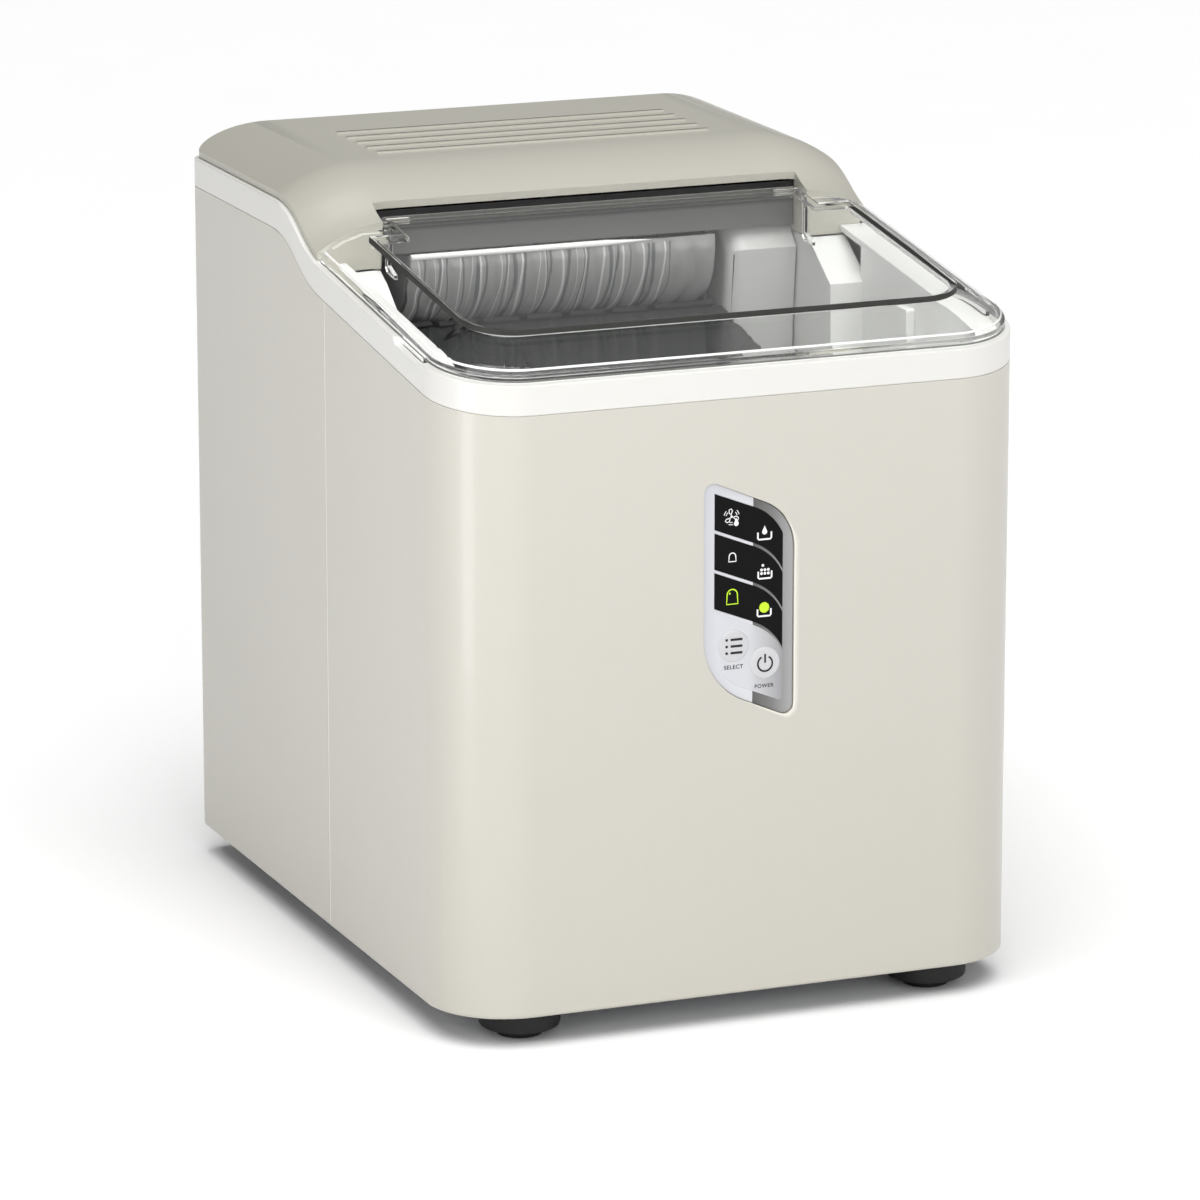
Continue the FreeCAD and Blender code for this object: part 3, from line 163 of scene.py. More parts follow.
@dataclass(frozen=True)
class Look:
    """What every finish has: a name, a colour and a material that is built once."""
    name: str
    rgb: Rgb

    def material(self) -> bpy.types.Material:
        """Finds the finish's material, or builds it the first time.

        Returns:
            The material.
        """
        found = bpy.data.materials.get(self.name)
        if found is None:
            found = bpy.data.materials.new(self.name)
            found.use_nodes = True
            self.paint(found.node_tree)
        return found

    def paint(self, tree: bpy.types.NodeTree) -> None:
        """Fills the material's node tree, as each kind of finish does in its own way."""
        raise NotImplementedError


@dataclass(frozen=True)
class Finish(Look):
    """A solid finish: tint with faint mottling, gloss that wanders and a fine surface bump."""
    roughness: float = 0.3
    metallic: float = 0.0
    coat: float = 0.0
    mottle: float = 0.02
    bump: float = 0.02
    scale: float = 900.0
    grain: Grain = Grain.MOULDED
    glow: float = 0.0
    specular: float = 0.5

    def paint(self, tree: bpy.types.NodeTree) -> None:
        """Sets the plain values, then lets tint, gloss and bump vary over the surface.

        Args:
            tree: the material's node tree.
        """
        shader = tree.nodes["Principled BSDF"]
        shader.inputs["Metallic"].default_value = self.metallic
        shader.inputs["Coat Weight"].default_value = self.coat
        shader.inputs["Coat Roughness"].default_value = COAT_HAZE
        shader.inputs["Specular IOR Level"].default_value = self.specular
        tint = linear(self.rgb)
        place = tree.nodes.new("ShaderNodeTexCoord")
        stretch = fed(tree, "ShaderNodeMapping", place.outputs["Object"], "Vector")
        if self.grain is Grain.BRUSHED:
            stretch.inputs["Scale"].default_value = BRUSH_DRAW
        cloud = noise(tree, stretch.outputs["Vector"], CLOUD_SCALE, CLOUD_DETAIL)
        ramp = fed(tree, "ShaderNodeValToRGB", cloud, "Fac")
        low = tuple(c * (1.0 - self.mottle) for c in tint[:3]) + (1.0,)
        high = tuple(min(1.0, c * (1.0 + self.mottle)) for c in tint[:3]) + (1.0,)
        ramp.color_ramp.elements[0].color = low
        ramp.color_ramp.elements[1].color = high
        tree.links.new(ramp.outputs["Color"], shader.inputs["Base Color"])
        wander(tree, cloud, self.roughness, GLOSS_SWING, shader.inputs["Roughness"])
        bump = fed(tree, "ShaderNodeBump", noise(tree, stretch.outputs["Vector"], self.scale), "Height")
        bump.inputs["Strength"].default_value = self.bump
        bump.inputs["Distance"].default_value = BUMP_REACH
        tree.links.new(bump.outputs["Normal"], shader.inputs["Normal"])
        if self.glow > 0:
            shader.inputs["Emission Color"].default_value = tint
            shader.inputs["Emission Strength"].default_value = self.glow


@dataclass(frozen=True)
class Clear(Look):
    """A see-through moulding: tint, haze and refraction."""
    haze: float = 0.02
    ior: float = 1.3
    weight: float = 1.0

    def paint(self, tree: bpy.types.NodeTree) -> None:
        """Sets tint and refraction, then lets the haze vary over the surface.

        Args:
            tree: the material's node tree.
        """
        shader = tree.nodes["Principled BSDF"]
        shader.inputs["Base Color"].default_value = linear(self.rgb)
        shader.inputs["IOR"].default_value = self.ior
        shader.inputs["Transmission Weight"].default_value = self.weight
        place = tree.nodes.new("ShaderNodeTexCoord")
        cloud = noise(tree, place.outputs["Object"], HAZE_SCALE)
        wander(tree, cloud, self.haze, HAZE_SWING, shader.inputs["Roughness"])


COVER = Finish("cover_satin", (181, 179, 168), roughness=0.34, coat=0.15)
# Pale tone of the rib caps: painted highlight.
RIB_HIGHLIGHT = Finish("rib_painted_highlight", (206, 203, 193), roughness=0.3)
WHITE = Finish("white_gloss", (222, 221, 217), roughness=0.3, coat=0.1)
# Dark and pale grey lines round the lid's raised centre: painted shade where the clear edge bends the light.
PAINTED_EDGE_SHADE = Finish("painted_edge_shade_tone", (44, 44, 40), roughness=0.5)
PAINTED_EDGE_LIGHT = Finish("painted_edge_light_tone", (168, 169, 166), roughness=0.4)
# Dark grey for the line under the lid's skirt: painted shadow in the gap above the trim band.
LID_SEAT_SHADOW = Finish("lid_seat_painted_shadow", (112, 112, 106), roughness=0.5)
# Near-white with a strong coat for the lid's bends, the webs' edges and the tray's rim bar: painted
# highlight.
HIGHLIGHT_PAINT = Finish("painted_highlight_edge", (236, 236, 235), roughness=0.2, coat=0.6)
TUB = Finish("tub_white", (206, 207, 205), roughness=0.3)
COWL = Finish("cowl_white", (184, 185, 183), roughness=0.3)
GREY = Finish("mid_grey", (120, 122, 124), roughness=0.4)
BLACK = Finish("black_moulding", (18, 18, 19), roughness=0.45, bump=0.1)
RUBBER = Finish("foot_rubber", (10, 10, 10), roughness=0.7, bump=0.4, scale=500.0)
SILVER = Finish("silver_paint", (214, 214, 216), roughness=0.3, coat=0.4)
SCREEN = Finish("screen_glass", (7, 7, 8), roughness=0.3, specular=0.12)
BUTTON = Finish("button_satin", (196, 196, 199), roughness=0.25, coat=0.2)
INK = Finish("print_dark", (16, 16, 17), roughness=0.6)
PRINT = Finish("print_white", (225, 225, 225), roughness=0.5, glow=0.15)
LIT = Finish("print_green", (178, 216, 28), roughness=0.5, glow=0.3)
STEEL = Finish("steel_sheet", (170, 172, 175), roughness=0.35, metallic=1.0, grain=Grain.BRUSHED)
NICKEL = Finish("nickel_plate", (200, 198, 192), roughness=0.12, metallic=1.0)
COPPER = Finish("copper_tube", (186, 110, 74), roughness=0.25, metallic=1.0)
ALUMINIUM = Finish("fin_aluminium", (198, 200, 204), roughness=0.3, metallic=1.0, grain=Grain.BRUSHED)
ENAMEL = Finish("black_enamel", (20, 20, 22), roughness=0.3, coat=0.5)
FOAM = Finish("rigid_foam", (226, 220, 196), roughness=0.9, bump=0.6, scale=300.0)
BOARD = Finish("board_resin", (20, 74, 40), roughness=0.4, coat=0.4)
HOSE = Finish("silicone_hose", (214, 216, 214), roughness=0.35)
FLOOR = Finish("floor_white", (247, 247, 247), roughness=0.9, mottle=0.002, bump=0.0)
LID_CLEAR = Clear("lid_clear", (252, 252, 251))
SMOKE = Clear("tray_smoke", (150, 151, 150), haze=0.12, ior=1.45, weight=0.2)
# Pale and dark grey for the streaks down the tray's flutes: painted highlight and painted shade.
TRAY_HIGHLIGHT = Finish("tray_painted_highlight", (182, 183, 182), roughness=0.2, coat=0.5)
TRAY_PAINTED_SHADE = Finish("tray_painted_shade", (92, 94, 94), roughness=0.2, coat=0.5)
# Near-black for the chute and the shovel under the tray: painted shade of the dim space there.
CHUTE_SHADE = Finish("chute_painted_shade", (44, 45, 45), roughness=0.2, coat=0.3)


@dataclass(frozen=True)
class Fade(Finish):
    """A finish whose tone changes along one axis, with each stop at a place in millimetres."""
    stops: Tuple[Tuple[float, Rgb], ...] = ()
    along: Axis = Axis.X

    def paint(self, tree: bpy.types.NodeTree) -> None:
        """Paints the solid finish, then lays the fading tint over it.

        Args:
            tree: the material's node tree.
        """
        super().paint(tree)
        place = tree.nodes.new("ShaderNodeTexCoord")
        split = fed(tree, "ShaderNodeSeparateXYZ", place.outputs["Object"], "Vector")
        span = fed(tree, "ShaderNodeMapRange", split.outputs[self.along.value], "Value")
        first, last = self.stops[0][0], self.stops[-1][0]
        span.inputs["From Min"].default_value = first * MM
        span.inputs["From Max"].default_value = last * MM
        ramp = fed(tree, "ShaderNodeValToRGB", span.outputs["Result"], "Fac")
        items = ramp.color_ramp.elements
        while len(items) < len(self.stops):
            items.new(0.5)
        for item, (at, rgb) in zip(items, self.stops):
            item.position = (at - first) / (last - first)
            item.color = linear(rgb)
        tree.links.new(ramp.outputs["Color"], tree.nodes["Principled BSDF"].inputs["Base Color"])


# The case's cream grows darker towards the bottom: painted shade near the floor, on the front panel, rear
# housing and grilles.
CREAM_SHADED_LOW = Fade("cream_gloss_painted_shade", (195, 192, 183), roughness=0.3, coat=0.15, stops=(
    (11.0, (188, 185, 175)), (110.0, (194, 191, 182)), (235.0, (200, 197, 188))), along=Axis.Z)
# Three pale cream tones for the edge round the control panel's recess: painted highlight, palest next to the
# recess.
RECESS_HIGHLIGHTS = tuple(Finish("recess_painted_highlight_%d" % step, rgb, roughness=0.3) for step, rgb in enumerate((
    (228, 226, 216), (215, 212, 203), (203, 200, 191))))
# Pale cream for the seam's bead: painted highlight.
SEAM_HIGHLIGHT = Finish("seam_painted_highlight", (226, 224, 217), roughness=0.3)
PANEL_SPLIT = Fade("panel_split", (225, 225, 230), roughness=0.3, coat=0.3, stops=(
    (-17.2, (196, 197, 203)), (1.65, (208, 209, 213)), (1.75, (80, 80, 78)), (9.0, (112, 112, 111)),
    (15.0, (150, 150, 150)), (17.2, (160, 160, 160))))
PAD_FADE = Fade("pad_fade", (225, 225, 230), roughness=0.35, coat=0.2, stops=(
    (-12.9, (202, 203, 209)), (0.0, (200, 201, 205)), (7.0, (176, 176, 179)), (13.1, (146, 146, 148))))
SHIELD_FADE = Fade("shield_fade", (30, 30, 30), roughness=0.45, stops=(
    (253.0, (96, 96, 95)), (262.0, (84, 84, 83)), (263.5, (22, 22, 22)), (272.0, (16, 16, 16))), along=Axis.Z)


CARRIED: Dict[str, Look] = {
    "hinge_shield": SHIELD_FADE,
    "front_panel": CREAM_SHADED_LOW, "rear_housing": CREAM_SHADED_LOW, "rear_grille": CREAM_SHADED_LOW, "side_grille": CREAM_SHADED_LOW,
    "trim_band": WHITE, "top_cover": COVER, "hinge_pins": NICKEL, "lid": LID_CLEAR,
    "base_pan": STEEL, "feet": RUBBER, "case_screws": NICKEL, "cord_gland": BLACK,
    "drain_outlet": GREY, "drain_plug": GREY, "inner_tub": TUB, "tub_insulation": FOAM,
    "ice_basket": TUB, "float_stem": WHITE, "water_float": WHITE, "ice_full_sensors": TUB,
    "water_tray": SMOKE, "ice_shovel": GREY, "ice_chute": SMOKE, "evaporator": NICKEL,
    "evaporator_bracket": STEEL, "refrigerant_lines": COPPER, "tray_motor": BLACK,
    "motor_cover": COWL, "compressor": ENAMEL, "compressor_grommets": RUBBER,
    "condenser": ALUMINIUM, "fan_shroud": BLACK, "fan_motor": STEEL, "fan_blade": BLACK,
    "filter_drier": COPPER, "hot_gas_valve": STEEL, "water_pump": GREY, "pump_impeller": WHITE,
    "water_hoses": HOSE, "water_spout": TUB, "control_bezel": SILVER, "display_window": SCREEN,
    "select_button": BUTTON, "power_button": BUTTON, "control_board": BOARD, "main_board": BOARD,
}


# ------------------------------------------------------------------ mesh tools
def placed(name: str, data: bpy.types.ID) -> bpy.types.Object:
    """Puts an object with this mesh, light, camera or text into the scene."""
    obj = bpy.data.objects.new(name, data)
    bpy.context.scene.collection.objects.link(obj)
    return obj


def add_piece(name: str, verts: Sequence[Point], faces: Sequence[Face], finish: Look,
              body: str, crease: float = 35.0) -> bpy.types.Object:
    """Makes a mesh object in millimetres, dresses it and lets it ride on a body.

    Args:
        name: the piece's name.
        verts: its corners, in millimetres.
        faces: its faces, as corner numbers.
        finish: what it is made of.
        body: the body that it moves with.
        crease: edges that turn more than this many degrees stay sharp.

    Returns:
        The new object.
    """
    mesh = bpy.data.meshes.new(name)
    mesh.from_pydata([tuple(c * MM for c in v) for v in verts], [], faces)
    bm = bmesh.new()
    bm.from_mesh(mesh)
    bmesh.ops.remove_doubles(bm, verts=bm.verts, dist=1e-6)
    bmesh.ops.recalc_face_normals(bm, faces=bm.faces)
    bm.to_mesh(mesh)
    bm.free()
    obj = placed(name, mesh)
    mesh.materials.append(finish.material())
    shade(obj, crease)
    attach(obj, body)
    return obj


def shade(obj: bpy.types.Object, crease: float) -> None:
    """Smooth shading with sharp creases and normals that favour large faces.

    Args:
        obj: the object to shade.
        crease: edges that turn more than this many degrees stay sharp.
    """
    obj.data.polygons.foreach_set("use_smooth", [True] * len(obj.data.polygons))
    obj.data.set_sharp_from_angle(angle=math.radians(crease))
    weighted = obj.modifiers.new("weighted", "WEIGHTED_NORMAL")
    weighted.keep_sharp = True


def grid_faces(rows: int, cols: int, closed: bool) -> List[Tuple[int, int, int, int]]:
    """Quads between rows of corners.

    Args:
        rows: how many rows.
        cols: how many corners in a row.
        closed: whether each row joins up with itself.

    Returns:
        The quads.
    """
    span = cols if closed else cols - 1
    return [(r * cols + c, r * cols + (c + 1) % cols, (r + 1) * cols + (c + 1) % cols, (r + 1) * cols + c)
            for r in range(rows - 1) for c in range(span)]


def prism_faces(count: int) -> List[Face]:
    """Both ends and the sides of an outline of count corners that is carried once."""
    ends: List[Face] = [tuple(range(count)), tuple(reversed(range(count, 2 * count)))]
    return ends + list(grid_faces(2, count, True))


def lathe(profile: Sequence[Flat], centre: Point, along: Axis, sides: int = 72) -> Form:
    """Turns a profile about an axis through centre.

    Args:
        profile: (radius, distance along the axis) pairs.
        centre: where distance 0 is.
        along: the axis's direction.
        sides: how many sides the turned form has.

    Returns:
        Its corners and faces, with both ends closed.
    """
    verts: List[Point] = []
    for radius, far in profile:
        for k in range(sides):
            turn = 2 * math.pi * k / sides
            a, b = radius * math.cos(turn), radius * math.sin(turn)
            offset = {Axis.X: (far, a, b), Axis.Y: (a, far, b), Axis.Z: (a, b, far)}[along]
            verts.append(tuple(c + o for c, o in zip(centre, offset)))
    faces: List[Face] = list(grid_faces(len(profile), sides, True))
    faces.append(tuple(range(sides)))
    faces.append(tuple(range(len(verts) - sides, len(verts))))
    return verts, faces


def joined(parts: Sequence[Form]) -> Form:
    """Puts several forms into one.

    Args:
        parts: the forms, each its corners and faces.

    Returns:
        The corners and faces of them all.
    """
    verts: List[Point] = []
    faces: List[Face] = []
    for some, quads in parts:
        base = len(verts)
        verts.extend(some)
        faces.extend(tuple(i + base for i in f) for f in quads)
    return verts, faces


def curve_through(points: Sequence[Flat], steps: int = 8) -> List[Flat]:
    """A smooth open line through a few points (Catmull-Rom).

    Args:
        points: the points that it passes through.
        steps: how many stretches lie between two of them.

    Returns:
        The line as close-set points.
    """
    out: List[Flat] = []
    ends = [points[0], *points, points[-1]]
    for i in range(1, len(ends) - 2):
        p0, p1, p2, p3 = ends[i - 1], ends[i], ends[i + 1], ends[i + 2]
        for k in range(steps):
            t = k / steps
            out.append(tuple(0.5 * (2 * b + (c - a) * t + (2 * a - 5 * b + 4 * c - d) * t * t
                                    + (3 * b - a - 3 * c + d) * t ** 3)
                             for a, b, c, d in zip(p0, p1, p2, p3)))
    out.append(tuple(points[-1]))
    return out


def inset(outline: Sequence[Flat], by: float) -> List[Flat]:
    """Moves a closed anticlockwise outline inwards.

    Args:
        outline: its corners.
        by: how far it moves, a small distance.

    Returns:
        The smaller outline.
    """
    out: List[Flat] = []
    count = len(outline)
    for i in range(count):
        ax, az = outline[i - 1]
        bx, bz = outline[(i + 1) % count]
        dx, dz = bx - ax, bz - az
        size = math.hypot(dx, dz) or 1.0
        out.append((outline[i][0] - dz / size * by, outline[i][1] + dx / size * by))
    return out


def plate(outline: Sequence[Flat], front: float, depth: float, ease: float) -> Form:
    """A plate that faces the front, with an eased front edge.

    Args:
        outline: (x, z) corners, anticlockwise as seen from the front.
        front: y of its front face.
        depth: its thickness.
        ease: radius of the front edge.

    Returns:
        Its corners and faces.
    """
    rows = [(0.0, front + depth), (0.0, front + ease), (ease * 0.3, front + ease * 0.3), (ease, front)]
    verts: List[Point] = []
    for by, y in rows:
        verts.extend((x, y, z) for x, z in inset(outline, by))
    count = len(outline)
    faces: List[Face] = list(grid_faces(len(rows), count, True))
    faces.append(tuple(range(3 * count, 4 * count)))
    faces.append(tuple(reversed(range(count))))
    return verts, faces


def stroke(points: Sequence[Flat], width: float, front: float, closed: bool = False) -> Form:
    """A printed line that faces the front.

    Args:
        points: (x, z) points along it.
        width: how wide the line is.
        front: y of its face.
        closed: whether it joins up with itself.

    Returns:
        Its corners and faces.
    """
    verts: List[Point] = []
    count = len(points)
    for i in range(count):
        a = points[i - 1] if closed or i > 0 else points[i]
        b = points[(i + 1) % count] if closed or i < count - 1 else points[i]
        dx, dz = b[0] - a[0], b[1] - a[1]
        size = math.hypot(dx, dz) or 1.0
        nx, nz = -dz / size * width / 2, dx / size * width / 2
        x, z = points[i]
        for sign, y in ((1, front), (-1, front), (-1, front + PRINT_DEPTH), (1, front + PRINT_DEPTH)):
            verts.append((x + sign * nx, y, z + sign * nz))
    faces: List[Face] = []
    for i in range(count if closed else count - 1):
        p, q = 4 * i, 4 * ((i + 1) % count)
        faces.extend((p + k, p + (k + 1) % 4, q + (k + 1) % 4, q + k) for k in range(4))
    if not closed:
        faces.append((0, 1, 2, 3))
        faces.append((4 * count - 1, 4 * count - 2, 4 * count - 3, 4 * count - 4))
    return verts, faces


def disc(centre: Flat, radius: float, front: float, sides: int = 24) -> Form:
    """A printed dot that faces the front."""
    ring = [(centre[0] + radius * math.cos(2 * math.pi * k / sides),
             centre[1] + radius * math.sin(2 * math.pi * k / sides)) for k in range(sides)]
    return plate(ring, front, PRINT_DEPTH, PRINT_EASE)


def arc_points(centre: Flat, radius: float, start: float, end: float, steps: int = 20) -> List[Flat]:
    """Points along an arc, angles in degrees from +X towards +Z."""
    return [(centre[0] + radius * math.cos(math.radians(start + (end - start) * k / steps)),
             centre[1] + radius * math.sin(math.radians(start + (end - start) * k / steps)))
            for k in range(steps + 1)]


def box_mm(node: str) -> Tuple[Vector, Vector]:
    """A node's lowest and highest corners, in millimetres."""
    low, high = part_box(node)
    return Vector(low) / MM, Vector(high) / MM


# ------------------------------------------------------------------ softened mouldings
@dataclass
class Moulding:
    """A moulded part whose outer edges are eased as a tool would leave them."""
    node: str
    finish: Look
    ease: float = 0.3
    body: str = "case"
    merge_angle: float = 0.4

    def build(self) -> bpy.types.Object:
        """Rebuilds the part's mesh with flat faces merged and its sharp edges rounded.

        Returns:
            The moulding.
        """
        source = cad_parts[self.node]
        mesh = source.data.copy()
        mesh.name = self.node + "_moulding"
        bm = bmesh.new()
        bm.from_mesh(mesh)
        bmesh.ops.remove_doubles(bm, verts=bm.verts, dist=2e-6)
        bmesh.ops.dissolve_limit(bm, angle_limit=math.radians(self.merge_angle),
                                 use_dissolve_boundaries=False, verts=bm.verts, edges=bm.edges)
        bm.to_mesh(mesh)
        bm.free()
        mesh.materials.clear()
        mesh.materials.append(self.finish.material())
        for polygon in mesh.polygons:
            polygon.material_index = 0
        obj = placed(self.node + "_moulding", mesh)
        if "custom_normal" in mesh.attributes:
            mesh.attributes.remove(mesh.attributes["custom_normal"])
        if self.ease > 0:
            bevel = obj.modifiers.new("ease", "BEVEL")
            bevel.width = self.ease * MM
            bevel.segments = 3
            bevel.limit_method = "ANGLE"
            bevel.angle_limit = math.radians(35)
            bevel.use_clamp_overlap = True
        shade(obj, 40.0)
        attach(obj, self.body)
        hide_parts(self.node)
        log.info("moulded %s", self.node)
        return obj


# ------------------------------------------------------------------ studio
@dataclass
class SoftBox:
    """One rectangular light: where it hangs, the point it faces, its size and its watts."""
    name: str
    at: Point
    aim: Point
    size: Flat
    power: float
    mirrored: bool = True

    def build(self) -> None:
        """Hangs the light, unseen by the camera and, unless mirrored, by glossy and clear surfaces."""
        light = bpy.data.lights.new(self.name, "AREA")
        light.shape = "RECTANGLE"
        light.size, light.size_y = self.size
        light.energy = self.power
        obj = placed(self.name, light)
        obj.location = self.at
        obj.visible_camera = False
        obj.visible_glossy = self.mirrored
        obj.visible_transmission = self.mirrored
        obj.rotation_euler = (Vector(self.aim) - Vector(self.at)).to_track_quat("-Z", "Y").to_euler()


@dataclass
class Studio:
    """Camera, floor, backdrop light, soft boxes and sun, in metres and degrees."""
    azimuth: float = -21.99
    elevation: float = 14.18
    lens: float = 194.9
    place: Point = (-0.87372, -2.16525, 0.71175)
    sky: float = 0.27
    far_wall: float = 0.12
    far_side: Point = (-0.93, 0.37, 0.0)
    far_from: float = 0.4
    floor_half: float = 9.0
    sun_power: float = 2.9
    sun_spread: float = 60.0
    sun_heading: Point = (0.11, 0.235, -0.966)
    boxes: Tuple[SoftBox, ...] = (
        SoftBox("key", (-0.05, -2.45, 0.95), (0.0, 0.0, 0.12), (2.4, 1.5), 20.9),
        SoftBox("well", (0.02, -0.116, 0.236), (0.02, 0.03, 0.222), (0.12, 0.008), 0.03, mirrored=False),
        SoftBox("corner", (-0.45, -0.26, 0.18), (-0.09, -0.12, 0.14), (0.12, 0.3), 0.42),
    )

    def camera(self) -> None:
        """Stands the camera on the object's front left."""
        turn, lift = math.radians(self.azimuth), math.radians(self.elevation)
        back = Vector((math.sin(turn) * math.cos(lift), -math.cos(turn) * math.cos(lift), math.sin(lift)))
        right = Vector((math.cos(turn), math.sin(turn), 0.0))
        up = back.cross(right)
        matrix = Matrix((right, up, back)).transposed().to_4x4()
        matrix.translation = Vector(self.place)
        lens = bpy.data.cameras.new("camera")
        lens.lens = self.lens
        lens.sensor_width = 36.0
        lens.clip_end = 50.0
        obj = placed("camera", lens)
        obj.matrix_world = matrix
        bpy.context.scene.camera = obj

    def floor(self) -> None:
        """Lays the pale floor."""
        mesh = bpy.data.meshes.new("floor")
        r = self.floor_half
        mesh.from_pydata([(-r, -r, 0), (r, -r, 0), (r, r, 0), (-r, r, 0)], [], [(0, 1, 2, 3)])
        obj = placed("floor", mesh)
        mesh.materials.append(FLOOR.material())

    def surround(self, tree: bpy.types.NodeTree) -> None:
        """A pale room whose far wall is left dark, so that clear parts don't wash out.

        Args:
            tree: the world's node tree.
        """
        nodes, links = tree.nodes, tree.links
        back = nodes["Background"]
        back.inputs["Strength"].default_value = self.sky
        place = nodes.new("ShaderNodeTexCoord")
        facing = nodes.new("ShaderNodeVectorMath")
        facing.operation = "DOT_PRODUCT"
        facing.inputs[1].default_value = self.far_side
        links.new(place.outputs["Generated"], facing.inputs[0])
        ramp = nodes.new("ShaderNodeValToRGB")
        ramp.color_ramp.elements[0].position = 0.0
        ramp.color_ramp.elements[0].color = (1.0, 1.0, 1.0, 1.0)
        ramp.color_ramp.elements[1].position = self.far_from
        ramp.color_ramp.elements[1].color = (self.far_wall, self.far_wall, self.far_wall, 1.0)
        links.new(facing.outputs["Value"], ramp.inputs["Fac"])
        links.new(ramp.outputs["Color"], back.inputs["Color"])

    def light(self) -> None:
        """Sets the surround, the soft boxes and the sun."""
        world = bpy.data.worlds.new("surround")
        bpy.context.scene.world = world
        world.use_nodes = True
        self.surround(world.node_tree)
        for box in self.boxes:
            box.build()
        sun = bpy.data.lights.new("sun", "SUN")
        sun.energy = self.sun_power
        sun.angle = math.radians(self.sun_spread)
        obj = placed("sun", sun)
        obj.rotation_euler = Vector(self.sun_heading).to_track_quat("-Z", "Y").to_euler()
        bpy.context.scene.view_settings.view_transform = "Standard"

    def build(self) -> None:
        """Camera first, then floor and lights."""
        self.camera()
        self.floor()
        self.light()
        log.info("set up the studio")


# ------------------------------------------------------------------ control panel
class Ink(Enum):
    """The colours that the panel is printed in."""
    WHITE = PRINT
    GREEN = LIT


